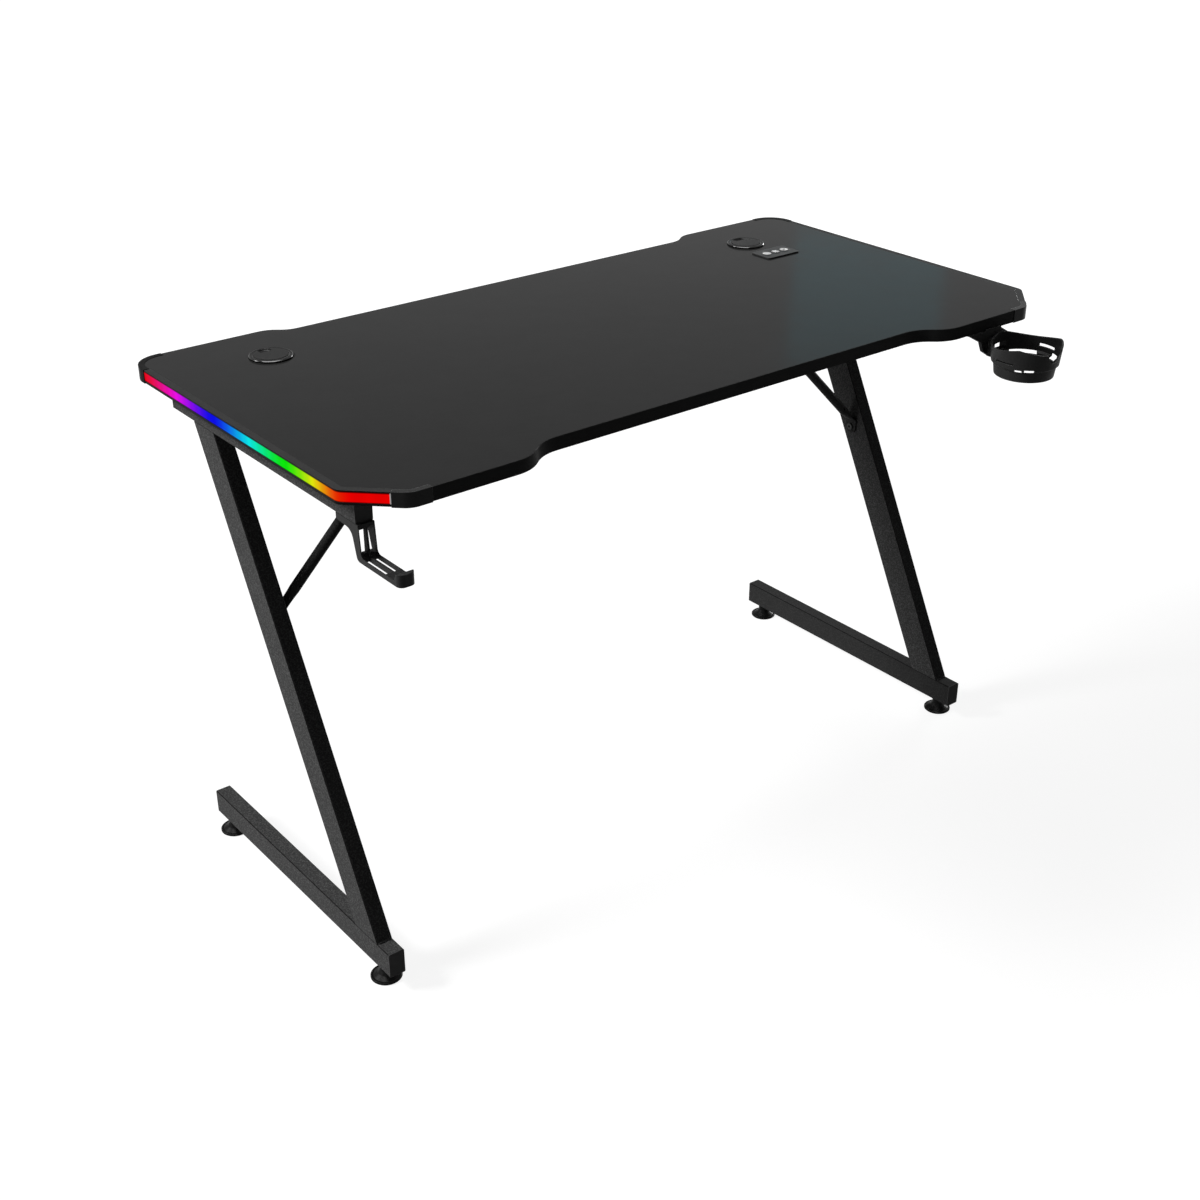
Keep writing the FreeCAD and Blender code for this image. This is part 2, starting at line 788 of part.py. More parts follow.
for side, sign in SIDES.items():
    sleeve = turned(f"sleeve_{side}", [
        (d.sleeve_bore, -d.board_thickness - d.sleeve_drop),
        (d.sleeve_radius, -d.board_thickness - d.sleeve_drop),
        (d.sleeve_radius, 0),
        (d.flange_radius, 0),
        (d.flange_radius, d.flange_height - d.flange_round, d.flange_round, 1),
        (d.flange_radius - d.flange_round, d.flange_height),
        (d.seat_radius, d.flange_height),
        (d.seat_radius, d.seat_height),
        (d.sleeve_bore, d.seat_height),
    ])
    finish(sleeve, f"grommet_sleeve_{side}", sign * grommet_x, grommet_y, d.top_height)
    cap_radius = d.seat_radius - d.hole_clearance
    disc = rod(f"cap_disc_{side}", 0, 0, 0, cap_radius, d.grommet_cap_thickness)
    notch = box(f"cap_notch_{side}", -d.notch_width / 2, d.notch_start, -d.overrun,
                d.notch_width / 2, d.flange_radius, d.grommet_cap_thickness + d.overrun)
    cap = cut(f"turning_cap_{side}", disc, [notch])
    cap_z = d.top_height + d.seat_height + d.seat_gap
    finish(cap, f"grommet_cap_{side}", sign * grommet_x, grommet_y, cap_z)

# Control panel: plate, buttons, housing, circuit board, switches and power inlet

panel_top = d.top_height + d.panel_thickness
button_hole = d.button_radius + d.button_play
button_places = {"left": -d.button_pitch, "middle": 0, "right": d.button_pitch}
plate = padded("plate", "XY_Plane", [rounded_rectangle(
    -d.panel_width / 2, -d.panel_depth / 2, d.panel_width / 2, d.panel_depth / 2, d.panel_corner_radius)],
    d.panel_thickness)
plate_holes = [rod(f"button_hole_{name}", x, 0, -d.overrun, button_hole, d.panel_thickness + 2 * d.overrun)
               for name, x in button_places.items()]
panel = cut("panel", plate, plate_holes)
finish(panel, "control_panel", panel_x, panel_y, d.top_height)

collar_top = -d.button_play
collar_low = collar_top - d.button_collar_height
for name, x in button_places.items():
    button = turned(f"button_{name}", [
        (0, collar_low),
        (d.button_collar_radius, collar_low),
        (d.button_collar_radius, collar_top),
        (d.button_radius, collar_top),
        (d.button_radius, d.panel_thickness, d.button_rise, 1),
        (d.button_radius - d.button_rise, d.panel_thickness + d.button_rise),
        (0, d.panel_thickness + d.button_rise),
    ])
    finish(button, f"control_button_{name}", panel_x + x, panel_y, d.top_height)

housing_low = -d.housing_drop
circuit_low = -d.control_board_drop
circuit_top = circuit_low + d.control_board_thickness
shell = padded("housing_shell", "XY_Plane", [rounded_rectangle(
    -d.housing_width / 2, -d.housing_depth / 2, d.housing_width / 2, d.housing_depth / 2,
    d.housing_corner_radius)], d.housing_drop, offset=housing_low)
room_x = d.housing_width / 2 - d.housing_wall
room_y = d.housing_depth / 2 - d.housing_wall
room = box("housing_room", -room_x, -room_y, housing_low + d.housing_wall, room_x, room_y, d.overrun)
inlet_top = circuit_low
inlet_low = inlet_top - d.inlet_height
inlet_face = d.housing_depth / 2 + d.inlet_proud
inlet_room = box("inlet_room", -d.inlet_width / 2 - d.hole_clearance, 0, inlet_low - d.hole_clearance,
                 d.inlet_width / 2 + d.hole_clearance, inlet_face + d.overrun, inlet_top)
walls = cut("housing_walls", cut("housing_tub", shell, [room]), [inlet_room])
boss_x = room_x - d.boss_inset
boss_places = {"left": -boss_x, "right": boss_x}
bosses = []
for name, x in boss_places.items():
    boss = rod(f"boss_{name}", x, d.boss_y, housing_low, d.boss_radius, circuit_low - housing_low)
    pilot = rod(f"boss_pilot_{name}", x, d.boss_y, circuit_low - d.small_screw_bite, screw_pilot,
                d.small_screw_bite + d.overrun)
    bosses.append(cut(f"boss_drilled_{name}", boss, [pilot]))
housing = fused("housing", [walls] + bosses)
finish(housing, "control_housing", panel_x, panel_y, d.top_height)

circuit_blank = box("circuit_blank", d.hole_clearance - room_x, d.hole_clearance - room_y, circuit_low,
                    room_x - d.hole_clearance, room_y - d.hole_clearance, circuit_top)
circuit = cut("circuit", circuit_blank, [
    rod(f"circuit_hole_{name}", x, d.boss_y, circuit_low - d.overrun, screw_pilot,
        d.control_board_thickness + 2 * d.overrun) for name, x in boss_places.items()])
finish(circuit, "control_board", panel_x, panel_y, d.top_height)

plunger_top = collar_low - d.button_travel - d.seat_gap
switches = []
for name, x in button_places.items():
    block = box(f"switch_block_{name}", x - d.switch_side / 2, -d.switch_side / 2, circuit_top,
                x + d.switch_side / 2, d.switch_side / 2, circuit_top + d.switch_height)
    plunger = rod(f"plunger_{name}", x, 0, circuit_top, d.plunger_radius, plunger_top - circuit_top)
    switches.append(fused(f"switch_{name}", [block, plunger]))
finish(group("switches", switches), "control_switches", panel_x, panel_y, d.top_height)

small_screws = [fastener(f"circuit_screw_{name}", x, d.boss_y, circuit_top, "down", "screw",
                         d.small_screw_bite) for name, x in boss_places.items()]
finish(group("circuit_screws", small_screws), "control_board_screws", panel_x, panel_y, d.top_height)

inlet_blank = box("inlet_blank", -d.inlet_width / 2, inlet_face - d.inlet_length, inlet_low,
                  d.inlet_width / 2, inlet_face, inlet_top)
inlet_axis = (inlet_low + inlet_top) / 2
inlet_socket = rod("inlet_socket", 0, inlet_face + d.overrun, inlet_axis, d.inlet_bore,
                   d.inlet_bore_depth + d.overrun, "front")
finish(cut("inlet", inlet_blank, [inlet_socket]), "power_inlet", panel_x, panel_y, d.top_height)

# Legs: a top rail, a leaning post and a foot rail on each side

half_tube = d.tube_width / 2
inner_tube = half_tube - d.tube_wall
inner_corner = d.tube_corner_radius / 2


def tube_section(height):
    """Outer and inner outline of a rectangular tube that stands on the X axis."""
    return [
        rounded_rectangle(-half_tube, 0, half_tube, height, d.tube_corner_radius),
        rounded_rectangle(-inner_tube, d.tube_wall, inner_tube, height - d.tube_wall, inner_corner),
    ]


def rail(name, x, low_y, high_y, z):
    """Tube along Y between the plates of its two end plugs."""
    tube_length = high_y - low_y - 2 * d.plug_plate
    item = padded(name, "XZ_Plane", tube_section(d.rail_height), tube_length, reverse=True)
    place(item, x, low_y + d.plug_plate, z)
    return item


def plug(name, x, y, z, inward):
    """End plug: a plate that covers the tube's end and an insert that fits inside."""
    plate = padded(name + "_plate", "XZ_Plane", [rounded_rectangle(
        -half_tube, 0, half_tube, d.rail_height, d.tube_corner_radius)], d.plug_plate, reverse=inward > 0)
    slack = d.tube_wall + d.plug_fit
    insert = padded(name + "_insert", "XZ_Plane", [rounded_rectangle(
        slack - half_tube, slack, half_tube - slack, d.rail_height - slack, inner_corner)],
        d.plug_plate + d.plug_insert, reverse=inward > 0)
    item = fused(name, [plate, insert])
    place(item, x, y, z)
    return item


plate_bolt_places = [d.beam_y - d.plate_bolt_spacing / 2, d.beam_y + d.plate_bolt_spacing / 2]
beam_bolt_z = rail_under + d.rail_height / 2
first_hook_screw = d.top_rail_front + d.hook_screw_front
hook_screw_places = [first_hook_screw, first_hook_screw + d.hook_screw_pitch]
post_rise = rail_under - foot_rail_top
post_run = d.post_top_y - d.post_bottom_y
# The brace is bolted to the post just below the place where the crossbeam's plane meets it
post_bolt_z = foot_rail_top + post_rise * (d.beam_y - d.post_bottom_y) / post_run - d.brace_bolt_drop
brace_foot_z = post_bolt_z + d.brace_tab_bolt
brace_head_x = leg_inner_x - d.brace_head_inset
post_length = root(post_run * post_run + post_rise * post_rise)
post_flat = d.post_depth * post_length / post_rise
post_flat_wall = d.tube_wall * post_length / post_rise

top_plugs = []
foot_plugs = []
for side, sign in SIDES.items():
    x = sign * leg_x
    wall_start = sign * (leg_inner_x - d.overrun)
    outwards = side
    wall_cut = d.tube_wall + 2 * d.overrun
    top_tube = rail(f"top_tube_{side}", x, d.top_rail_front, d.top_rail_rear, rail_under)
    tall_cut = d.rail_height + 2 * d.overrun
    holes = [rod(f"top_tube_hole_{name}", hole_x, y, rail_under - d.overrun, bolt_hole, tall_cut)
             for name, hole_x, y in top_bolt_places if name.endswith(side)]
    holes += [rod(f"beam_hole_{side}_{number}", wall_start, y, beam_bolt_z, bolt_hole, wall_cut, outwards)
              for number, y in enumerate(plate_bolt_places)]
    if side == "left":
        holes += [rod(f"hook_hole_{number}", x, y, rail_under - d.overrun, screw_pilot, wall_cut)
                  for number, y in enumerate(hook_screw_places)]
    finish(cut(f"top_tube_drilled_{side}", top_tube, holes), f"top_rail_{side}")

    foot_tube = rail(f"foot_tube_{side}", x, d.foot_rail_front, d.foot_rail_rear, d.foot_rail_clear)
    stud_holes = [rod(f"stud_hole_{side}_{spot}", x, y, d.foot_rail_clear - d.overrun,
                      d.stud_radius + d.hole_clearance, wall_cut)
                  for spot, y in (("front", d.foot_front_y), ("rear", d.foot_rear_y))]
    finish(cut(f"foot_tube_drilled_{side}", foot_tube, stud_holes), f"foot_rail_{side}")

    leaning = doc.addObject("PartDesign::Body", f"leaning_{side}")
    section = sketch_in(leaning, "XY_Plane", f"leaning_section_{side}")
    outline(section, rounded_rectangle(
        -half_tube, -post_flat / 2, half_tube, post_flat / 2, d.tube_corner_radius))
    inner_flat = post_flat / 2 - post_flat_wall
    outline(section, rounded_rectangle(-inner_tube, -inner_flat, inner_tube, inner_flat, inner_corner))
    pad = leaning.newObject("PartDesign::Pad", f"leaning_pad_{side}")
    pad.Profile = section
    pad.UseCustomVector = True
    pad.AlongSketchNormal = True
    pad.Direction = FreeCAD.Vector(0, post_run.value, post_rise.value)
    bind(pad, "Direction.y", post_run)
    bind(pad, "Direction.z", post_rise)
    bind(pad, "Length", post_rise)
    place(leaning, x, d.post_bottom_y, foot_rail_top)
    brace_hole = rod(f"brace_hole_{side}", wall_start, d.beam_y, post_bolt_z, bolt_hole, wall_cut, outwards)
    finish(cut(f"post_drilled_{side}", leaning, [brace_hole]), f"post_{side}")

    top_plugs.append(plug(f"top_plug_front_{side}", x, d.top_rail_front, rail_under, 1))
    top_plugs.append(plug(f"top_plug_rear_{side}", x, d.top_rail_rear, rail_under, -1))
    foot_plugs.append(plug(f"foot_plug_front_{side}", x, d.foot_rail_front, d.foot_rail_clear, 1))
    foot_plugs.append(plug(f"foot_plug_rear_{side}", x, d.foot_rail_rear, d.foot_rail_clear, -1))
finish(group("top_plugs", top_plugs), "top_rail_plugs")
finish(group("foot_plugs", foot_plugs), "foot_rail_plugs")

# Crossbeam between the top rails, with a bolted plate at each end

beam_half = leg_inner_x - d.plate_thickness
beam_tube = padded("beam_tube", "YZ_Plane", tube_section(d.rail_height), 2 * beam_half, offset=-beam_half)
place(beam_tube, 0, d.beam_y, rail_under)
beam_holes = [rod(f"beam_brace_hole_{side}", sign * (brace_head_x - d.brace_tab_bolt), d.beam_y,
                  rail_under - d.overrun, bolt_hole, d.tube_wall + 2 * d.overrun)
              for side, sign in SIDES.items()]
finish(cut("beam", beam_tube, beam_holes), "crossbeam")

beam_bolts = []
beam_nuts = []
for side, sign in SIDES.items():
    faces = sorted((sign * beam_half, sign * leg_inner_x), key=value_of)
    blank = box(f"end_plate_{side}", faces[0], d.beam_y - d.plate_length / 2, rail_under,
                faces[1], d.beam_y + d.plate_length / 2, top_under)
    plate_holes = []
    for number, y in enumerate(plate_bolt_places):
        start = sign * (beam_half - d.overrun)
        plate_holes.append(rod(f"end_plate_hole_{side}_{number}", start, y, beam_bolt_z, bolt_hole,
                               d.plate_thickness + 2 * d.overrun, side))
        bolt_length = d.plate_thickness + d.tube_wall + d.bolt_grip
        beam_bolts.append(fastener(f"beam_bolt_{side}_{number}", sign * beam_half, y, beam_bolt_z,
                                   side, "bolt", bolt_length))
        beam_nuts.append(nut(f"beam_nut_{side}_{number}", sign * (leg_inner_x + d.tube_wall), y, beam_bolt_z,
                             side, d.nut_radius, d.nut_height, bolt_thread))
    finish(cut(f"drilled_plate_{side}", blank, plate_holes), f"crossbeam_plate_{side}")
finish(group("beam_bolts", beam_bolts), "crossbeam_bolts")
finish(group("beam_nuts", beam_nuts), "crossbeam_nuts")

# Braces: round tubes drawn upright, pressed flat at both ends and bent into bolted tabs

half_flat = d.brace_flat_thickness / 2
half_wide = d.brace_flat_width / 2
brace_foot_x = leg_inner_x - half_flat
brace_head_z = rail_under - half_flat
brace_run = brace_foot_x - brace_head_x
brace_rise = brace_head_z - brace_foot_z
brace_length = root(brace_run * brace_run + brace_rise * brace_rise)
brace_lean = arctangent(brace_run / brace_rise)
tube_end = brace_length - d.brace_taper_length


def flattened(name, tube_z, flat_z):
    """Loft from the round tube to the flat end."""
    ring = doc.addObject("Part::Circle", name + "_round")
    flat = doc.addObject("Part::Ellipse", name + "_flat")
    crosswise = FreeCAD.Rotation(FreeCAD.Vector(0, 0, 1), QUARTER_TURN)
    for section in (ring, flat):
        section.Placement = FreeCAD.Placement(FreeCAD.Vector(), crosswise)
    bind(ring, "Radius", d.brace_radius)
    place(ring, 0, 0, tube_z)
    bind(flat, "MajorRadius", half_wide)
    bind(flat, "MinorRadius", half_flat)
    place(flat, 0, 0, flat_z)
    loft = doc.addObject("Part::Loft", name)
    loft.Sections = [ring, flat]
    loft.Solid = True
    return loft


def tab(name, way):
    """Flat tab with a round end and a bolt hole, running the given way from the bend."""
    strip = box(name + "_strip", -half_flat, -half_wide, 0, half_flat, half_wide, d.brace_tab_bolt)
    end = rod(name + "_end", -half_flat, 0, d.brace_tab_bolt, half_wide, d.brace_flat_thickness, "right")
    bend = rod(name + "_bend", 0, -half_wide, 0, half_flat, d.brace_flat_width, "back")
    hole = rod(name + "_hole", -half_flat - d.overrun, 0, d.brace_tab_bolt, bolt_hole,
               d.brace_flat_thickness + 2 * d.overrun, "right")
    item = cut(name, fused(name + "_blank", [strip, end, bend]), [hole])
    point(item, way)
    return item


def lean(item, sign, angle):
    """Bind the turn of an object about Y; sign 1 tips its top towards +X, -1 towards -X."""
    tip = FreeCAD.Rotation(FreeCAD.Vector(0, sign, 0), angle.value)
    item.Placement = FreeCAD.Placement(FreeCAD.Vector(), tip)
    bind(item, "Placement.Rotation.Angle", angle)


brace_bolts = []
brace_nuts = []
for side, sign in SIDES.items():
    pipe = rod(f"pipe_{side}", 0, 0, d.brace_taper_length, d.brace_radius, tube_end - d.brace_taper_length)
    lower_taper = flattened(f"lower_taper_{side}", d.brace_taper_length, 0)
    upper_taper = flattened(f"upper_taper_{side}", tube_end, brace_length)
    # The strut is turned back to the desk's frame at each tab, so that the tabs lie on their seats
    lower_tab = group(f"lower_tab_{side}", [tab(f"foot_tab_{side}", "down")])
    lean(lower_tab, sign, brace_lean)
    upper_tab = group(f"upper_tab_{side}", [tab(f"head_tab_{side}", "left" if sign > 0 else "right")])
    lean(upper_tab, sign, brace_lean)
    place(upper_tab, 0, 0, brace_length)
    strut = fused(f"strut_{side}", [pipe, lower_taper, upper_taper, lower_tab, upper_tab])
    bore = rod(f"strut_bore_{side}", 0, 0, d.brace_taper_length, d.brace_radius - d.brace_wall,
               tube_end - d.brace_taper_length)
    drains = [rod(f"drain_{side}_{number}", 0, 0, z, d.drain_radius, d.brace_radius + d.overrun, "front")
              for number, z in enumerate((d.brace_taper_length + d.brace_radius, tube_end - d.brace_radius))]
    brace = cut(f"brace_solid_{side}", cut(f"strut_bored_{side}", strut, [bore]), drains)
    lean(brace, -sign, brace_lean)
    finish(brace, f"brace_{side}", sign * brace_foot_x, d.beam_y, brace_foot_z)

    bolt_length = d.brace_flat_thickness + d.tube_wall + d.bolt_grip
    head_bolt_x = sign * (brace_head_x - d.brace_tab_bolt)
    tab_face = leg_inner_x - d.brace_flat_thickness
    brace_bolts.append(fastener(f"foot_bolt_{side}", sign * tab_face, d.beam_y, post_bolt_z,
                                side, "bolt", bolt_length))
    brace_bolts.append(fastener(f"head_bolt_{side}", head_bolt_x, d.beam_y,
                                rail_under - d.brace_flat_thickness, "up", "bolt", bolt_length))
    brace_nuts.append(nut(f"foot_bolt_nut_{side}", sign * (leg_inner_x + d.tube_wall), d.beam_y,
                          post_bolt_z, side, d.nut_radius, d.nut_height, bolt_thread))
    brace_nuts.append(nut(f"head_bolt_nut_{side}", head_bolt_x, d.beam_y, rail_under + d.tube_wall, "up",
                          d.nut_radius, d.nut_height, bolt_thread))
finish(group("brace_bolt_group", brace_bolts), "brace_bolts")
finish(group("brace_nut_group", brace_nuts), "brace_nuts")

# Bolts through the top rails into threaded inserts in the board

top_bolts = []
inserts = []
for name, x, y in top_bolt_places:
    top_bolts.append(fastener(f"top_bolt_{name}", x, y, rail_under, "up", "bolt",
                              d.rail_height + d.bolt_grip))
    sleeve = rod(f"insert_blank_{name}", x, y, top_under, d.insert_radius, d.insert_length)
    inserts.append(cut(f"insert_{name}", sleeve, [rod(f"insert_bore_{name}", x, y, top_under, bolt_thread,
                                                      d.insert_length)]))
finish(group("top_bolts", top_bolts), "tabletop_bolts")
finish(group("inserts", inserts), "threaded_inserts")

# Levelling feet: dished disc with a hub and a stud that screws into a nut in the rail

foot_nuts = []
for side, sign in SIDES.items():
    for spot, y in (("front", d.foot_front_y), ("rear", d.foot_rear_y)):
        hub_top = d.foot_rail_clear - d.seat_gap
        foot = turned(f"foot_{spot}_{side}", [
            (0, 0),
            (d.foot_radius - d.foot_edge_bevel, 0),
            (d.foot_radius, d.foot_edge_bevel),
            (d.foot_radius, d.foot_rim_height - d.foot_edge_bevel),
            (d.foot_radius - d.foot_edge_bevel, d.foot_rim_height),
            (d.foot_radius - d.foot_rim_width, d.foot_rim_height),
            (d.foot_radius - d.foot_rim_width, d.foot_dish_height),
            (d.foot_flare_radius, d.foot_flare_height),
            (d.foot_hub_radius, d.foot_neck_height),
            (d.foot_hub_radius, hub_top),
            (d.stud_radius, hub_top),
            (d.stud_radius, hub_top + d.stud_length),
            (0, hub_top + d.stud_length),
        ])
        finish(foot, f"levelling_foot_{spot}_{side}", sign * leg_x, y, 0)
        foot_nuts.append(nut(f"foot_nut_{spot}_{side}", sign * leg_x, y, d.foot_rail_clear + d.tube_wall,
                             "up", d.foot_nut_radius, d.foot_nut_height,
                             d.stud_radius + d.running_clearance))
finish(group("foot_nut_group", foot_nuts), "foot_nuts")

# Headset hook: a bent strap whose side profile is padded across its width, opened to two walls and a rib

hook_front = d.top_rail_front - d.hook_overhang
arm_low = rail_under - d.hook_drop
arm_top = arm_low + d.hook_arm_thickness
lip_top = arm_low + d.hook_lip_height
nose_y = d.top_rail_front - d.hook_arm_length
elbow_y = hook_front - d.hook_rake
lip_back_y = nose_y + d.hook_lip_thickness
lip_foot_y = lip_back_y + d.hook_lip_slope
base_rear_y = d.top_rail_front + d.hook_base_length
gusset = (d.top_rail_front + d.hook_strap_top, rail_under - d.hook_base_front)
heel = (d.top_rail_front + d.hook_strap_foot, arm_low)
elbow = (elbow_y, arm_top)
hook = padded("hook", "YZ_Plane", [[
    (base_rear_y, rail_under),
    (base_rear_y, rail_under - d.hook_base_rear),
    gusset,
    heel,
    (nose_y, arm_low),
    (nose_y, lip_top),
    (lip_back_y, lip_top),
    (lip_foot_y, arm_top),
    elbow,
    (hook_front, rail_under),
]], d.hook_width, offset=-d.hook_width / 2)
NEAR = 1e-3


def edge_through(spot):
    """Test for an edge along X that passes through a point of the side profile."""
    def wanted(edge):
        middle = edge.CenterOfMass
        return (len(edge.Vertexes) == 2
                and abs(edge.Vertexes[0].X - edge.Vertexes[1].X) > NEAR
                and abs(middle.y - value_of(spot[0])) < NEAR and abs(middle.z - value_of(spot[1])) < NEAR)
    return wanted


def upright_nose_edge(edge):
    """Test for the two upright edges at the front of the hook."""
    return (len(edge.Vertexes) == 2 and abs(edge.Vertexes[0].Z - edge.Vertexes[1].Z) > NEAR
            and all(abs(vertex.Y - nose_y.value) < NEAR for vertex in edge.Vertexes))


rounded(hook, "hook_gusset_fillet", d.hook_gusset_radius, edge_through(gusset))
rounded(hook, "hook_elbow_fillet", d.hook_elbow_radius, edge_through(elbow))
rounded(hook, "hook_heel_fillet", d.hook_elbow_radius, edge_through(heel))
rounded(hook, "hook_lip_fillet", d.hook_edge_radius, edge_through((lip_back_y, lip_top)))
rounded(hook, "hook_nose_fillet", d.hook_nose_radius, upright_nose_edge)

seat_radius = d.screw_head_radius + d.hole_clearance
inner_half = d.hook_width / 2 - d.hook_rim
rib_half = d.hook_rib / 2
arm_slot_front = lip_foot_y + d.hook_slot_front
strap_slot_low = arm_top + d.hook_slot_foot
strap_slot_high = rail_under - d.hook_slot_top
strap_slot_front = elbow_y - d.hook_elbow_radius
strap_slot_rear = first_hook_screw - seat_radius - d.hook_rim
rib_rear = hook_front - d.hook_rake / 2 + d.hook_rib_depth
slot_cuts = [box("rib_cut", -inner_half, rib_rear, strap_slot_low, inner_half, strap_slot_rear, strap_slot_high)]
for name, (near, far) in {"left": (-inner_half, -rib_half), "right": (rib_half, inner_half)}.items():
    slot_cuts.append(box(f"arm_slot_{name}", near, arm_slot_front, arm_low - d.overrun,
                         far, elbow_y, strap_slot_low + d.overrun))
    slot_cuts.append(box(f"strap_slot_{name}", near, strap_slot_front, strap_slot_low,
                         far, strap_slot_rear, strap_slot_high))
# The screw heads are sunk into round seats in the sloping underside of the base
seat_z = rail_under - d.hook_base_rear
hook_seats = []
hook_holes = []
hook_screws = []
for number, y in enumerate(hook_screw_places):
    hook_seats.append(rod(f"hook_seat_{number}", 0, y, arm_low, seat_radius, seat_z - arm_low))
    hook_holes.append(rod(f"hook_screw_hole_{number}", 0, y, arm_low, screw_hole, d.hook_drop + d.overrun))
    hook_screws.append(fastener(f"hook_screw_{number}", 0, y, seat_z, "up", "screw", d.screw_bite))
slotted = cut("hook_slotted", hook, slot_cuts)
finish(cut("hook_drilled", cut("hook_seated", slotted, hook_seats), hook_holes), "headset_hook", -leg_x)
finish(group("hook_screws", hook_screws), "headset_hook_screws", -leg_x)

# Cup holder: a bracket under the board and a stepped, slotted basket screwed to its web

web_front = -half_depth - d.cup_web_proud
web_rear = web_front + d.cup_web_thickness
web_corners = [
    (-d.cup_web_left, 0),
    (-d.cup_web_shoulder, -d.cup_web_shoulder_drop),
    (-d.cup_web_waist, -d.cup_web_waist_drop),
    (-d.cup_web_toe, -d.cup_web_toe_drop),
    (d.cup_web_toe, -d.cup_web_toe_drop),
    (d.cup_web_waist, -d.cup_web_waist_drop),
    (d.cup_web_waist, -d.cup_web_shoulder_drop),
    (d.cup_web_right, 0),
]
web = padded("web", "XZ_Plane", [web_corners], d.cup_web_thickness, offset=-web_rear)
place(web, cup_x, 0, top_under)
stop = box("web_stop", cup_x - d.cup_web_waist, web_front, top_under - d.overrun,
           cup_x + d.cup_web_right, -half_depth - d.cup_fit, top_under + d.cup_web_lip)
flange = box("flange", flange_left_x, web_rear - d.overrun, top_under - d.cup_flange_thickness,
             flange_right_x, bracket_rear_y, top_under)
bracket_blank = fused("bracket_blank", [web, stop, flange])
boss_top = top_under - d.cup_boss_drop
boss_low = boss_top - d.cup_boss_height
boss_middle = (boss_top + boss_low) / 2
boss_screw_places = {name: cup_x + sign * d.cup_boss_screw_half for name, sign in SIDES.items()}
bracket_holes = [rod(f"flange_hole_{name}", x, y, top_under - d.cup_flange_thickness - d.overrun, screw_hole,
                     d.cup_flange_thickness + 2 * d.overrun) for name, x, y in bracket_screws]
bracket_holes += [rod(f"web_hole_{name}", x, web_rear + d.overrun, boss_middle, screw_hole,
                      d.cup_web_thickness + 2 * d.overrun, "front") for name, x in boss_screw_places.items()]
cup_low = top_under - d.cup_top_drop - d.cup_height
window_low = cup_low + d.cup_window_low
window = box("cup_window", cup_x - d.cup_window_left, cup_y, window_low,
             cup_x + d.cup_window_right, web_rear + d.overrun, window_low + d.cup_window_height)
finish(cut("bracket", bracket_blank, bracket_holes + [window]), "cup_holder_bracket")
finish(group("bracket_screw_group", [
    fastener(f"bracket_screw_{name}", x, y, top_under - d.cup_flange_thickness, "up", "screw", d.screw_bite)
    for name, x, y in bracket_screws]), "cup_holder_bracket_screws")
finish(group("basket_screw_group", [
    fastener(f"basket_screw_{name}", x, web_rear, boss_middle, "front", "screw",
             d.cup_web_thickness + d.cup_screw_bite)
    for name, x in boss_screw_places.items()]), "cup_holder_basket_screws")

cup_shell = turned("cup_shell", [
    (d.cup_floor_hole_radius, 0),
    (d.cup_base_radius, 0),
    (d.cup_step_radius, d.cup_step_height - d.cup_wall),
    (d.cup_band_foot_radius, d.cup_step_height),
    (d.cup_rim_radius, d.cup_height),
    (d.cup_rim_radius - d.cup_wall, d.cup_height),
    (d.cup_band_foot_radius - d.cup_wall, d.cup_step_height + d.cup_wall),
    (d.cup_step_radius - d.cup_wall, d.cup_step_height),
    (d.cup_base_radius - d.cup_wall, d.cup_floor_thickness),
    (d.cup_floor_hole_radius, d.cup_floor_thickness),
])
place(cup_shell, cup_x, cup_y, cup_low)
boss_block = box("cup_boss", cup_x - d.cup_boss_half, cup_y, boss_low,
                 cup_x + d.cup_boss_half, web_front, boss_top)
cup_room = turned("cup_room", [
    (0, 0),
    (d.cup_band_foot_radius - d.cup_wall, 0),
    (d.cup_band_foot_radius - d.cup_wall, d.cup_step_height + d.cup_wall),
    (d.cup_rim_radius - d.cup_wall, d.cup_height),
    (0, d.cup_height),
])
place(cup_room, cup_x, cup_y, cup_low)
boss = cut("cup_boss_trimmed", boss_block, [cup_room])
basket_blank = fused("basket_blank", [cup_shell, boss])

# Three scoops make the rim wavy, a notch leaves room for a finger, and slots of several heights run through


def turned_about_cup(name, item, angle, z):
    """Turn a tool that points along +X about the cup's axis."""
    tool = group(name, [item])
    turn = FreeCAD.Rotation(FreeCAD.Vector(0, 0, 1), angle)
    tool.Placement = FreeCAD.Placement(FreeCAD.Vector(), turn)
    place(tool, cup_x, cup_y, z)
    return tool


cut_reach = d.cup_rim_radius + d.overrun
scoop_z = cup_low + d.cup_height - d.cup_scoop_depth + d.cup_scoop_radius
scoops = []
for number, angle in enumerate(SCOOP_TURNS):
    scoop = rod(f"scoop_rod_{number}", 0, 0, 0, d.cup_scoop_radius, cut_reach, "right")
    scoops.append(turned_about_cup(f"scoop_{number}", scoop, angle, scoop_z))
scooped_basket = basket_blank
for number, scoop in enumerate(scoops):
    scooped_basket = cut(f"basket_scooped_{number}", scooped_basket, [scoop])
notch_z = cup_low + d.cup_height - d.cup_notch_depth + d.cup_notch_radius
notch_rod = rod("notch_rod", 0, 0, 0, d.cup_notch_radius, cut_reach, "right")
cup_slots = [turned_about_cup("cup_notch", notch_rod, NOTCH_TURN, notch_z)]
for name, angle in SLOT_TURNS.items():
    half = getattr(d, f"cup_{name}_slot_width") / 2
    low = getattr(d, f"cup_{name}_slot_low")
    bar = box(f"slot_bar_{name}", d.cup_floor_hole_radius, -half, low,
              cut_reach, half, low + getattr(d, f"cup_{name}_slot_height"))
    cup_slots.append(turned_about_cup(f"cup_slot_{name}", bar, angle, cup_low))
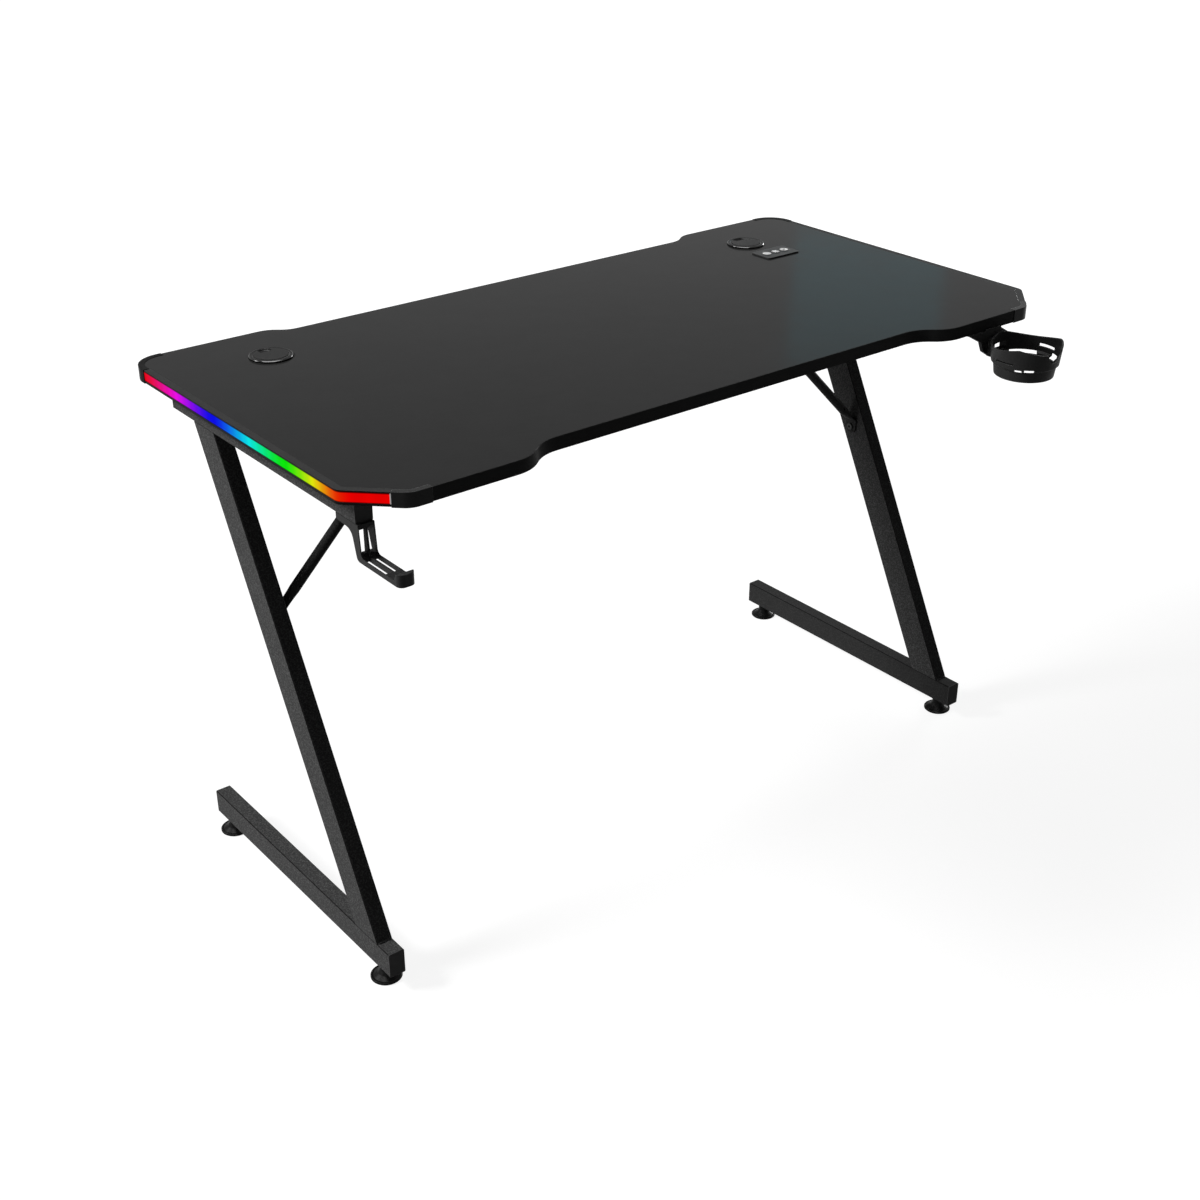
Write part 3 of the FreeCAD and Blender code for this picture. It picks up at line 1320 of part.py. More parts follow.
cup_pilots = [rod(f"cup_pilot_{name}", x, web_front, boss_middle, screw_pilot, d.cup_screw_bite, "front")
              for name, x in boss_screw_places.items()]
slotted_basket = cut("basket_slotted", scooped_basket, cup_slots)
finish(cut("basket", slotted_basket, cup_pilots + [window]), "cup_holder_basket")

# Check every object and write one file for each sub-part

doc.recompute()
for item in doc.Objects:
    if "Invalid" in item.State or "Error" in item.State:
        raise RuntimeError(f"{item.Name} did not compute: {item.State}")
os.makedirs("parts", exist_ok=True)
for item in sub_parts:
    if item.Shape.isNull() or not item.Shape.isValid() or not item.Shape.Solids:
        raise RuntimeError(f"{item.Label} has no valid solid")
    item.Shape.exportStep(f"parts/{item.Label}.step")
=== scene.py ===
"""Looks of the gaming desk: finishes, small details, floor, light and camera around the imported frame."""

import json
import math

import bmesh
import bpy
import numpy as np
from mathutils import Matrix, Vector


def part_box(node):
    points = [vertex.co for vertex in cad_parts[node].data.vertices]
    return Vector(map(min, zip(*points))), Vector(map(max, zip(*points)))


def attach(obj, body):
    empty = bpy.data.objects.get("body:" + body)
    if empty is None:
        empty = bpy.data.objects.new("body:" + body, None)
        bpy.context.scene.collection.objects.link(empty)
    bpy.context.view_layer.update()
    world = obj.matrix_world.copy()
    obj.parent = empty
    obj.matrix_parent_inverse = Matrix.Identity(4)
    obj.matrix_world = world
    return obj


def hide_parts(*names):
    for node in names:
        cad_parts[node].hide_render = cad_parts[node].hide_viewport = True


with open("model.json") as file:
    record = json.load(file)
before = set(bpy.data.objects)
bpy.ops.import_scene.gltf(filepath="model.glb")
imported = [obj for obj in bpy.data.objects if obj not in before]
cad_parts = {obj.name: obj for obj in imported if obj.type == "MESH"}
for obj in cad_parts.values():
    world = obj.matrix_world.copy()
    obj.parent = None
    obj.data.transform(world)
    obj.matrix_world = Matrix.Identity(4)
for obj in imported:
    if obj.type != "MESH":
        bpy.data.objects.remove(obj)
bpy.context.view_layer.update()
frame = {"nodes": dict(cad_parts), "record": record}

MM = 0.001
FULL_TURN = 2 * math.pi

# Node trees


class Tree:
    """A node tree under construction: adds nodes, sets their sockets and links them."""

    def __init__(self, tree):
        self.tree = tree

    def feed(self, socket, value):
        """Link a socket to another one, or give it a plain value."""
        if isinstance(value, bpy.types.NodeSocket):
            self.tree.links.new(value, socket)
        else:
            socket.default_value = value

    def add(self, kind, settings=None, **sockets):
        """New node; sockets are named in words joined by underscores."""
        node = self.tree.nodes.new("ShaderNode" + kind)
        for name, value in (settings or {}).items():
            setattr(node, name, value)
        for name, value in sockets.items():
            self.feed(node.inputs[name.replace("_", " ")], value)
        return node

    def math(self, operation, *values):
        """Result of a Math node."""
        node = self.add("Math", {"operation": operation})
        for socket, value in zip(node.inputs, values):
            self.feed(socket, value)
        return node.outputs["Value"]

    def dot(self, first, second):
        """Dot product of two vectors."""
        node = self.add("VectorMath", {"operation": "DOT_PRODUCT"})
        self.feed(node.inputs[0], first)
        self.feed(node.inputs[1], second)
        return node.outputs["Value"]

    def ranged(self, value, from_low, from_high, to_low, to_high):
        """Value carried smoothly from one range to another and held at its ends."""
        node = self.add("MapRange", {"interpolation_type": "SMOOTHSTEP"}, Value=value, From_Min=from_low,
                        From_Max=from_high, To_Min=to_low, To_Max=to_high)
        return node.outputs["Result"]

    def spread(self, value):
        """Middle of a noise's range carried to 0 to 1."""
        return self.ranged(value, 0.3, 0.7, 0.0, 1.0)

    def mixed(self, share, first, second):
        """Colour between two colours."""
        node = self.add("Mix", {"data_type": "RGBA"})
        self.feed(node.inputs["Factor"], share)
        self.feed(node.inputs[6], first)
        self.feed(node.inputs[7], second)
        return node.outputs[2]

    def place(self):
        """Object coordinates in metres."""
        return self.add("TexCoord").outputs["Object"]

    def noise(self, vector, scale, detail=2.0, roughness=0.5):
        """Value of a noise texture."""
        node = self.add("TexNoise", None, Vector=vector, Scale=scale, Detail=detail, Roughness=roughness)
        return node.outputs["Fac"]

    def effect(self, group, **sockets):
        """Node that places a shared effect."""
        node = self.tree.nodes.new("ShaderNodeGroup")
        node.node_tree = group
        for name, value in sockets.items():
            self.feed(node.inputs[name.replace("_", " ")], value)
        return node


def grey(level):
    """Opaque neutral colour."""
    return (level, level, level, 1.0)


def shared_effect(name, takes, gives):
    """Empty node group with float or vector sockets; returns its tree, its inputs and its output node."""
    group = bpy.data.node_groups.new(name, "ShaderNodeTree")
    for label, (kind, amount) in takes.items():
        socket = group.interface.new_socket(label, in_out="INPUT", socket_type="NodeSocket" + kind)
        if amount is not None:
            socket.default_value = amount
    for label, kind in gives.items():
        group.interface.new_socket(label, in_out="OUTPUT", socket_type="NodeSocket" + kind)
    tree = Tree(group)
    inputs = group.nodes.new("NodeGroupInput").outputs
    outputs = group.nodes.new("NodeGroupOutput").inputs
    return group, tree, inputs, outputs


def build_grain():
    """Fine pebbled grain: small noise plus rounded cells for height, and a broad noise for mottling."""
    group, tree, inputs, outputs = shared_effect(
        "fine_grain", {"Place": ("Vector", None), "Grain Size": ("Float", 0.6 * MM)},
        {"Height": "Float", "Mottle": "Float"})
    fine_scale = tree.math("DIVIDE", 1.0, inputs["Grain Size"])
    fine = tree.noise(inputs["Place"], fine_scale, 3.0, 0.6)
    cells = tree.add("TexVoronoi", {"feature": "SMOOTH_F1"}, Vector=inputs["Place"], Scale=fine_scale)
    tree.feed(outputs["Height"], tree.math("MULTIPLY_ADD", cells.outputs["Distance"], 0.5, fine))
    broad_scale = tree.math("MULTIPLY", fine_scale, 0.02)
    tree.feed(outputs["Mottle"], tree.noise(inputs["Place"], broad_scale, 4.0, 0.6))
    return group


def build_soft_edge():
    """Edges rounded by the bevelled normal, and an edge mask where that normal leaves the flat one: it
    carries wear on some finishes, painted shade lines on others and a painted highlight on the front caps.
    """
    group, tree, inputs, outputs = shared_effect(
        "soft_edge", {"Place": ("Vector", None), "Radius": ("Float", 0.8 * MM)},
        {"Wear And Painted Edge Light": "Float", "Rounded": "Vector"})
    bevel = tree.add("Bevel", {"samples": 6}, Radius=inputs["Radius"])
    flat = tree.add("NewGeometry").outputs["Normal"]
    bend = tree.math("SUBTRACT", 1.0, tree.dot(bevel.outputs["Normal"], flat))
    toned_edges = tree.ranged(bend, 0.02, 0.25, 0.0, 1.0)
    broken = tree.ranged(tree.noise(inputs["Place"], 140.0, 3.0, 0.6), 0.35, 0.65, 0.5, 1.0)
    tree.feed(outputs["Wear And Painted Edge Light"], tree.math("MULTIPLY", toned_edges, broken))
    tree.feed(outputs["Rounded"], bevel.outputs["Normal"])
    return group


def build_handling():
    """Faint cloudy film left by handling, as a share from 0 to 1."""
    group, tree, inputs, outputs = shared_effect(
        "handling", {"Place": ("Vector", None)}, {"Film": "Float"})
    wide = tree.noise(inputs["Place"], 5.0, 4.0, 0.6)
    close = tree.noise(inputs["Place"], 38.0, 3.0, 0.55)
    tree.feed(outputs["Film"], tree.ranged(tree.math("MULTIPLY", wide, close), 0.12, 0.4, 0.0, 1.0))
    return group


GRAIN = build_grain()
SOFT_EDGE = build_soft_edge()
HANDLING = build_handling()


def new_finish(name):
    """Material with an unlinked Principled shader; returns material, tree and shader."""
    material = bpy.data.materials.new(name)
    material.use_nodes = True
    material.node_tree.nodes.clear()
    tree = Tree(material.node_tree)
    shader = tree.add("BsdfPrincipled")
    tree.add("OutputMaterial", None, Surface=shader.outputs["BSDF"])
    return material, tree, shader


def grained(name, colour, lift, edge_tone, rough, index, grain_size, grain_depth, edge_radius, fleck=1.0):
    """Solid finish with pebbled grain, mottled tone, softened edges of another tone, and handling film.

    colour is the base, lift how much the mottling brightens it, fleck how much the raised grains do,
    edge_tone the colour of the edges, and index the refraction index that sets the gloss. An edge tone
    darker than the colour makes a painted shade line, the pale one of the front caps a painted highlight,
    and the other paler ones wear.
    """
    material, tree, shader = new_finish(name)
    where = tree.place()
    grain = tree.effect(GRAIN, Place=where, Grain_Size=grain_size).outputs
    edge = tree.effect(SOFT_EDGE, Place=where, Radius=edge_radius).outputs
    film = tree.effect(HANDLING, Place=where).outputs["Film"]
    bright = tuple(min(1.0, channel * lift) for channel in colour[:3]) + (1.0,)
    flecked = tuple(min(1.0, channel * fleck) for channel in bright[:3]) + (1.0,)
    tone = tree.mixed(tree.spread(grain["Mottle"]), colour, bright)
    speckled = tree.mixed(tree.ranged(grain["Height"], 0.62, 0.92, 0.0, 1.0), tone, flecked)
    # Edges take edge_tone: painted shade where it is darker, a painted highlight on the front caps, wear
    # elsewhere
    tree.feed(shader.inputs["Base Color"], tree.mixed(edge["Wear And Painted Edge Light"], speckled, edge_tone))
    tree.feed(shader.inputs["Roughness"], tree.ranged(film, 0.0, 1.0, rough, rough + 0.08))
    shader.inputs["IOR"].default_value = index
    bump = tree.add("Bump", None, Strength=0.5, Distance=grain_depth, Height=grain["Height"],
                    Normal=edge["Rounded"])
    tree.feed(shader.inputs["Normal"], bump.outputs["Normal"])
    return material


# Depth of a leaning post where it meets a rail
POST_FOOTPRINT = 56.85 * MM


def post_facing():
    """Direction that the front faces of the leaning posts look in: square to the slant of their box."""
    low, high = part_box("post_left")
    rise = high.z - low.z
    run = high.y - low.y - POST_FOOTPRINT
    slant = math.hypot(rise, run)
    return -rise / slant, run / slant


def principled(material):
    """The Principled shader of a material."""
    return next(node for node in material.node_tree.nodes if node.type == "BSDF_PRINCIPLED")


def mix_in_painted_shade(material, tree, share, level):
    """Mix a share of a dark grey into the base colour of a finish, as painted shade."""
    tint = principled(material).inputs["Base Color"]
    tree.feed(tint, tree.mixed(share, tint.links[0].from_socket, grey(level)))


def speckled_paint(name, level=0.042, fleck=2.0, depth=0.05 * MM):
    """Dark powder coat with paler raised grains, and a darker edge tone that is painted shade along its
    edges.
    """
    return grained(name, colour=grey(level), lift=1.15, edge_tone=grey(0.03), rough=0.48, index=1.06,
                   grain_size=2.0 * MM, grain_depth=depth, edge_radius=0.8 * MM, fleck=fleck)


def leg_finish(name, level=0.042, fleck=2.0):
    """Speckled powder coat with painted shade: thin dark lines along the rounded corners of the tubes.

    A corner is where the surface faces none of the tubes' flat directions: the three axes, and the
    two directions of the leaning posts' front and end faces.
    """
    material = speckled_paint(name, level, fleck)
    tree = Tree(material.node_tree)
    facing = tree.add("TexCoord").outputs["Normal"]
    fore, rise = post_facing()
    flats = ((1, 0, 0), (0, 1, 0), (0, 0, 1), (0, fore, rise), (0, rise, -fore))
    nearest = 0.0
    for flat in flats:
        nearest = tree.math("MAXIMUM", nearest, tree.math("ABSOLUTE", tree.dot(facing, flat)))
    # Painted shade: the base colour is made near-black where the surface faces none of the flat directions
    corner = tree.ranged(nearest, 0.9, 0.985, 0.9, 0.0)
    mix_in_painted_shade(material, tree, corner, 0.006)
    return material


def channel_finish():
    """Black plastic with painted shade on its upright faces, so that the lips above and below the strip
    are darkest.
    """
    material = grained("channel_plastic", colour=grey(0.012), lift=1.3, edge_tone=grey(0.012), rough=0.45,
                       index=1.12, grain_size=0.6 * MM, grain_depth=0.02 * MM, edge_radius=0.3 * MM)
    tree = Tree(material.node_tree)
    upward = tree.add("SeparateXYZ", None, Vector=tree.add("TexCoord").outputs["Normal"]).outputs["Z"]
    # Painted shade: upright faces are made near-black, level faces keep the plastic's tone
    mix_in_painted_shade(material, tree, tree.ranged(tree.math("ABSOLUTE", upward), 0.5, 0.9, 1.0, 0.0), 0.001)
    return material


def accessory_finish(name):
    """Satin black plastic of the hook and the cup holder."""
    return grained(name, colour=grey(0.023), lift=1.3, edge_tone=grey(0.034), rough=0.44, index=1.13,
                   grain_size=0.7 * MM, grain_depth=0.035 * MM, edge_radius=0.7 * MM)


def basket_finish():
    """Accessory plastic with painted shade within the cup, where the surface faces the cup's upright axis.
    """
    material = accessory_finish("basket_plastic")
    tree = Tree(material.node_tree)
    low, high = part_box("cup_holder_basket")
    middle = (low + high) / 2
    radius = (high.x - low.x) / 2
    source = tree.add("TexCoord").outputs
    spoke = tree.add("VectorMath", {"operation": "MULTIPLY_ADD"})
    tree.feed(spoke.inputs[0], source["Object"])
    tree.feed(spoke.inputs[1], (1.0, 1.0, 0.0))
    tree.feed(spoke.inputs[2], (-middle.x, -middle.y, 0.0))
    outward = tree.dot(source["Normal"], spoke.outputs["Vector"])
    # Painted shade: the base colour is made near-black on the faces turned towards the cup's axis
    inside = tree.ranged(outward, -0.6 * radius, -0.1 * radius, 1.0, 0.0)
    mix_in_painted_shade(material, tree, inside, 0.005)
    return material


def sleeve_finish():
    """Black plastic that is glossy on the rounded rim only, where the surface tilts away from level, with
    painted shade: every face that is not level is made near-black.
    """
    material = grained("sleeve_plastic", colour=grey(0.022), lift=1.15, edge_tone=grey(0.022), rough=0.25,
                       index=1.07, grain_size=0.5 * MM, grain_depth=0.003 * MM, edge_radius=0.1 * MM)
    tree = Tree(material.node_tree)
    upward = tree.add("SeparateXYZ", None, Vector=tree.add("TexCoord").outputs["Normal"]).outputs["Z"]
    shader = principled(material)
    tone = shader.inputs["Base Color"].links[0].from_socket
    # Painted shade: faces that are not level get a near-black base colour, level faces keep the grey tone
    level = tree.ranged(upward, 0.9, 0.98, 0.0, 1.0)
    tree.feed(shader.inputs["Base Color"], tree.mixed(level, grey(0.002), tone))
    leaning = tree.ranged(upward, 0.3, 0.55, 0.0, 0.55)
    tilted = tree.math("SUBTRACT", 1.0, level)
    tree.feed(shader.inputs["Coat Weight"], tree.math("MULTIPLY", leaning, tilted))
    shader.inputs["Coat Roughness"].default_value = 0.1
    return material


def laminate_finish():
    """Dark desk laminate: a very fine twill of crossing tows, a pebbled skin and a faint film on top.

    The twill repeats every four tows: a tow lies on top where the sum of its column and row, taken
    modulo four, is below two.
    """
    tow = 1.5 * MM
    material, tree, shader = new_finish("laminate")
    where = tree.place()
    parts = tree.add("SeparateXYZ", None, Vector=where).outputs
    column = tree.math("DIVIDE", parts["X"], tow)
    row = tree.math("DIVIDE", parts["Y"], tow)
    step = tree.math("ADD", tree.math("FLOOR", column), tree.math("FLOOR", row))
    over = tree.math("LESS_THAN", tree.math("FLOORED_MODULO", step, 4.0), 2.0)
    across = tree.math("PINGPONG", column, 0.5)
    along = tree.math("PINGPONG", row, 0.5)
    crown_over = tree.math("MULTIPLY", across, over)
    crown_under = tree.math("MULTIPLY", along, tree.math("SUBTRACT", 1.0, over))
    weave = tree.math("ADD", crown_over, crown_under)
    grain = tree.effect(GRAIN, Place=where, Grain_Size=0.9 * MM).outputs
    edge = tree.effect(SOFT_EDGE, Place=where, Radius=0.7 * MM).outputs
    film = tree.effect(HANDLING, Place=where).outputs["Film"]
    tows = tree.mixed(over, grey(0.0255), grey(0.028))
    skin = tree.mixed(tree.ranged(grain["Mottle"], 0.35, 0.65, 0.0, 0.3), tows, grey(0.031))
    tree.feed(shader.inputs["Base Color"], tree.mixed(edge["Wear And Painted Edge Light"], skin, grey(0.03)))
    tree.feed(shader.inputs["Roughness"], tree.ranged(film, 0.0, 1.0, 0.1, 0.15))
    shader.inputs["IOR"].default_value = 1.066
    height = tree.math("MULTIPLY_ADD", grain["Height"], 0.6, weave)
    bump = tree.add("Bump", None, Strength=0.06, Distance=0.02 * MM, Height=height, Normal=edge["Rounded"])
    tree.feed(shader.inputs["Normal"], bump.outputs["Normal"])
    return material


# The strip runs through the colour circle from the rear to the front: place along Y and colour
STRIP_COLOURS = (
    (-203, (1, 0, 0)),
    (-137, (1, 1, 0)),
    (-70, (0, 1, 0)),
    (18, (0, 1, 1)),
    (113, (0, 0, 1)),
    (213, (1, 0, 1)),
    (321, (1, 0, 0)),
)
# Short clear end of the strip beside the front cap
STRIP_END = -232.2
SOURCE_PITCH = 16.6 * MM


def diffuser_finish():
    """Milky strip lit from behind: pure colours blended along Y, a little brighter before each source.

    The glow dies away over the last millimetre or two under the channel's upper and lower lips.
    """
    material, tree, shader = new_finish("diffuser_plastic")
    where = tree.place()
    parts = tree.add("SeparateXYZ", None, Vector=where).outputs
    along = parts["Y"]
    low, high = STRIP_COLOURS[0][0] * MM, STRIP_COLOURS[-1][0] * MM
    share = tree.add("MapRange", None, Value=along, From_Min=low, From_Max=high).outputs["Result"]
    ramp = tree.add("ValToRGB", None, Fac=share)
    stops = ramp.color_ramp.elements
    while len(stops) < len(STRIP_COLOURS):
        stops.new(1.0)
    for stop, (spot, colour) in zip(stops, STRIP_COLOURS):
        stop.position = (spot * MM - low) / (high - low)
        stop.color = colour + (1.0,)
    light = tree.add("Gamma", None, Color=ramp.outputs["Color"], Gamma=2.2).outputs["Color"]
    ripple = tree.math("COSINE", tree.math("MULTIPLY", along, FULL_TURN / SOURCE_PITCH))
    bottom, top = (corner.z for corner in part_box("light_diffuser_left"))
    from_top = tree.ranged(parts["Z"], top - 2.2 * MM, top - 0.6 * MM, 1.0, 0.05)
    from_bottom = tree.ranged(parts["Z"], bottom + 0.4 * MM, bottom + 1.4 * MM, 0.1, 1.0)
    level = tree.math("MULTIPLY", from_top, from_bottom)
    glow = tree.math("MULTIPLY", level, tree.ranged(ripple, -1.0, 1.0, 0.74, 0.78))
    lit = tree.mixed(glow, grey(0.0), light)
    clear = tree.math("LESS_THAN", along, STRIP_END * MM)
    tree.feed(shader.inputs["Emission Color"], tree.mixed(clear, lit, grey(0.24)))
    shader.inputs["Emission Strength"].default_value = 1.0
    haze = tree.effect(GRAIN, Place=where, Grain_Size=0.8 * MM).outputs
    shade = tree.mixed(0.02, grey(0.0), light)
    body = tree.mixed(tree.ranged(haze["Mottle"], 0.3, 0.7, 0.0, 0.4), shade, grey(0.004))
    tree.feed(shader.inputs["Base Color"], tree.mixed(clear, body, grey(0.24)))
    tree.feed(shader.inputs["Roughness"], tree.ranged(haze["Height"], 0.3, 1.0, 0.35, 0.5))
    shader.inputs["IOR"].default_value = 1.03
    return material


def tape_finish():
    """White light tape: pale film with a warm square source and a copper pad at every pitch along Y."""
    material, tree, shader = new_finish("tape")
    where = tree.place()
    grain = tree.effect(GRAIN, Place=where, Grain_Size=0.5 * MM).outputs
    along = tree.add("SeparateXYZ", None, Vector=where).outputs["Y"]
    step = tree.math("PINGPONG", along, SOURCE_PITCH / 2)
    source = tree.math("LESS_THAN", step, 2.5 * MM)
    pad = tree.math("GREATER_THAN", step, SOURCE_PITCH / 2 - 1.2 * MM)
    film = tree.mixed(tree.spread(grain["Mottle"]), grey(0.7), grey(0.78))
    padded = tree.mixed(pad, film, (0.72, 0.4, 0.2, 1.0))
    tree.feed(shader.inputs["Base Color"], tree.mixed(source, padded, (0.85, 0.75, 0.35, 1.0)))
    tree.feed(shader.inputs["Roughness"], tree.ranged(grain["Height"], 0.3, 1.0, 0.4, 0.55))
    return material


def circuit_finish():
    """Green solder mask with slightly raised copper tracks: thin bands of a stepped wave over X and Y."""
    material, tree, shader = new_finish("circuit")
    where = tree.place()
    parts = tree.add("SeparateXYZ", None, Vector=where).outputs
    bend = tree.math("MULTIPLY", tree.math("SNAP", parts["Y"], 4 * MM), 0.35)
    band = tree.math("PINGPONG", tree.math("ADD", parts["X"], bend), 1.1 * MM)
    track = tree.math("LESS_THAN", band, 0.35 * MM)
    grain = tree.effect(GRAIN, Place=where, Grain_Size=0.3 * MM).outputs
    cloud = tree.spread(grain["Mottle"])
    mask = tree.mixed(cloud, (0.01, 0.11, 0.04, 1.0), (0.015, 0.14, 0.05, 1.0))
    tree.feed(shader.inputs["Base Color"], tree.mixed(track, mask, (0.04, 0.24, 0.09, 1.0)))
    tree.feed(shader.inputs["Roughness"], tree.ranged(grain["Height"], 0.3, 1.0, 0.25, 0.4))
    bump = tree.add("Bump", None, Strength=0.4, Distance=0.03 * MM, Height=track)
    tree.feed(shader.inputs["Normal"], bump.outputs["Normal"])
    return material


def band_finish():
    """Black edge tape: satin with faint streaks that run along the edge, from noise stretched along X."""
    material, tree, shader = new_finish("edge_plastic")
    where = tree.place()
    drawn = tree.add("Mapping", None, Vector=where, Scale=(30.0, 700.0, 2200.0)).outputs["Vector"]
    streak = tree.noise(drawn, 1.0, 3.0, 0.6)
    edge = tree.effect(SOFT_EDGE, Place=where, Radius=0.8 * MM).outputs
    film = tree.effect(HANDLING, Place=where).outputs["Film"]
    tone = tree.mixed(tree.spread(streak), grey(0.022), grey(0.028))
    tree.feed(shader.inputs["Base Color"], tree.mixed(edge["Wear And Painted Edge Light"], tone, grey(0.03)))
    tree.feed(shader.inputs["Roughness"], tree.ranged(film, 0.0, 1.0, 0.42, 0.5))
    shader.inputs["IOR"].default_value = 1.06
    bump = tree.add("Bump", None, Strength=0.25, Distance=0.02 * MM, Height=streak, Normal=edge["Rounded"])
    tree.feed(shader.inputs["Normal"], bump.outputs["Normal"])
    return material


# Height above which a levelling foot is its threaded steel stud
STUD_START = 21.6 * MM
THREAD_PITCH = 1.25 * MM


def foot_finish():
    """Black moulded foot with a fine grain, and a plated stud with rings cut round it as thread."""
    material, tree, shader = new_finish("foot_plastic")
    where = tree.place()
    height = tree.add("SeparateXYZ", None, Vector=where).outputs["Z"]
    stud = tree.math("GREATER_THAN", height, STUD_START)
    grain = tree.effect(GRAIN, Place=where, Grain_Size=0.5 * MM).outputs
    edge = tree.effect(SOFT_EDGE, Place=where, Radius=0.6 * MM).outputs
    moulded = tree.mixed(tree.spread(grain["Mottle"]), grey(0.005), grey(0.008))
    toned_edges = tree.mixed(edge["Wear And Painted Edge Light"], moulded, grey(0.012))
    tree.feed(shader.inputs["Base Color"], tree.mixed(stud, toned_edges, (0.55, 0.56, 0.58, 1.0)))
    tree.feed(shader.inputs["Metallic"], stud)
    tree.feed(shader.inputs["Roughness"], tree.ranged(grain["Mottle"], 0.2, 0.8, 0.3, 0.42))
    shader.inputs["IOR"].default_value = 1.13
    thread = tree.math("PINGPONG", height, THREAD_PITCH / 2)
    cut = tree.math("MULTIPLY", tree.math("DIVIDE", thread, THREAD_PITCH), stud)
    relief = tree.math("MULTIPLY_ADD", grain["Height"], 0.06, cut)
    bump = tree.add("Bump", None, Strength=0.6, Distance=0.4 * MM, Height=relief, Normal=edge["Rounded"])
    tree.feed(shader.inputs["Normal"], bump.outputs["Normal"])
    return material


def metal_finish(name, colour, shade, rough):
    """Bare plated metal: fine turned lines from noise squeezed along Z, and a cloudy tarnish."""
    material, tree, shader = new_finish(name)
    where = tree.place()
    turned = tree.add("Mapping", None, Vector=where, Scale=(300.0, 300.0, 6000.0)).outputs["Vector"]
    lines = tree.noise(turned, 1.0, 2.0, 0.5)
    cloud = tree.effect(GRAIN, Place=where, Grain_Size=0.4 * MM).outputs["Mottle"]
    tree.feed(shader.inputs["Base Color"], tree.mixed(tree.spread(cloud), colour, shade))
    tree.feed(shader.inputs["Roughness"], tree.ranged(lines, 0.3, 0.7, rough, rough + 0.15))
    shader.inputs["Metallic"].default_value = 1.0
    bump = tree.add("Bump", None, Strength=0.3, Distance=0.02 * MM, Height=lines)
    tree.feed(shader.inputs["Normal"], bump.outputs["Normal"])
    return material


FINISHES = {
    "laminate": laminate_finish(),
    "edge_plastic": band_finish(),
    "cap_plastic": grained(
        "cap_plastic", colour=grey(0.003), lift=1.3, edge_tone=grey(0.002), rough=0.3, index=1.06,
        grain_size=0.7 * MM, grain_depth=0.01 * MM, edge_radius=0.6 * MM),
    "channel_plastic": channel_finish(),
    "diffuser_plastic": diffuser_finish(),
    "tape": tape_finish(),
    "grommet_plastic": grained(
        "grommet_plastic", colour=grey(0.022), lift=1.15, edge_tone=grey(0.012), rough=0.25, index=1.07,
        grain_size=0.5 * MM, grain_depth=0.003 * MM, edge_radius=0.3 * MM),
    "control_plastic": grained(
        "control_plastic", colour=grey(0.03), lift=1.15, edge_tone=grey(0.036), rough=0.3, index=1.12,
        grain_size=0.5 * MM, grain_depth=0.02 * MM, edge_radius=0.5 * MM),
    "button_plastic": grained(
        "button_plastic", colour=grey(0.026), lift=1.2, edge_tone=grey(0.035), rough=0.35, index=1.14,
        grain_size=0.4 * MM, grain_depth=0.015 * MM, edge_radius=0.3 * MM),
    "circuit": circuit_finish(),
    "component_plastic": grained(
        "component_plastic", colour=grey(0.02), lift=1.3, edge_tone=grey(0.04), rough=0.45, index=1.3,
        grain_size=0.4 * MM, grain_depth=0.02 * MM, edge_radius=0.2 * MM),
    "leg_paint": leg_finish("leg_paint"),
    # The tube plugs' edges get a painted shade line: an edge tone far darker than the body
    "plug_plastic": grained(
        "plug_plastic", colour=grey(0.065), lift=1.2, edge_tone=grey(0.02), rough=0.5, index=1.08,
        grain_size=0.7 * MM, grain_depth=0.03 * MM, edge_radius=1.4 * MM),
    "bolt_steel": grained(
        "bolt_steel", colour=grey(0.02), lift=1.6, edge_tone=grey(0.06), rough=0.36, index=1.3,
        grain_size=0.4 * MM, grain_depth=0.02 * MM, edge_radius=0.3 * MM),
    "zinc_steel": metal_finish(
        "zinc_steel", colour=(0.6, 0.61, 0.63, 1.0), shade=(0.48, 0.49, 0.52, 1.0), rough=0.28),
    "insert_brass": metal_finish(
        "insert_brass", colour=(0.78, 0.58, 0.26, 1.0), shade=(0.6, 0.43, 0.18, 1.0), rough=0.25),
    "foot_plastic": foot_finish(),
    "accessory_plastic": accessory_finish("accessory_plastic"),
}


def dress(node, finish):
    """Give a node of the frame its finish."""
    for place in frame["nodes"][node].material_slots:
        place.material = finish


for part in frame["record"]["subparts"]:
    dress(part["node"], FINISHES[part["material_slot"]])
# The front caps get painted light: a lighter copy of the cap plastic than the other caps, with a painted
# highlight along their edges
PAINTED_LIGHT_CAP = grained("cap_plastic_painted_light", colour=grey(0.016), lift=1.3, edge_tone=grey(0.2), rough=0.25,
                     index=1.12, grain_size=0.7 * MM, grain_depth=0.01 * MM, edge_radius=0.9 * MM)
for side in ("left", "right"):
    dress(f"corner_cap_front_{side}", PAINTED_LIGHT_CAP)
# The round braces and the weld beads have no flat faces, so no painted shade lines along corners
ROUND_PAINT = speckled_paint("round_paint", level=0.03, fleck=1.5, depth=0.015 * MM)
for side in ("left", "right"):
    dress(f"brace_{side}", ROUND_PAINT)
# The right foot rail gets painted shade: a darker copy of the leg paint with fewer pale flecks, standing
# in for the desk top's shadow
dress("foot_rail_right", leg_finish("leg_paint_painted_shade", level=0.03, fleck=1.4))
dress("cup_holder_basket", basket_finish())

# Small pieces worked out as surfaces


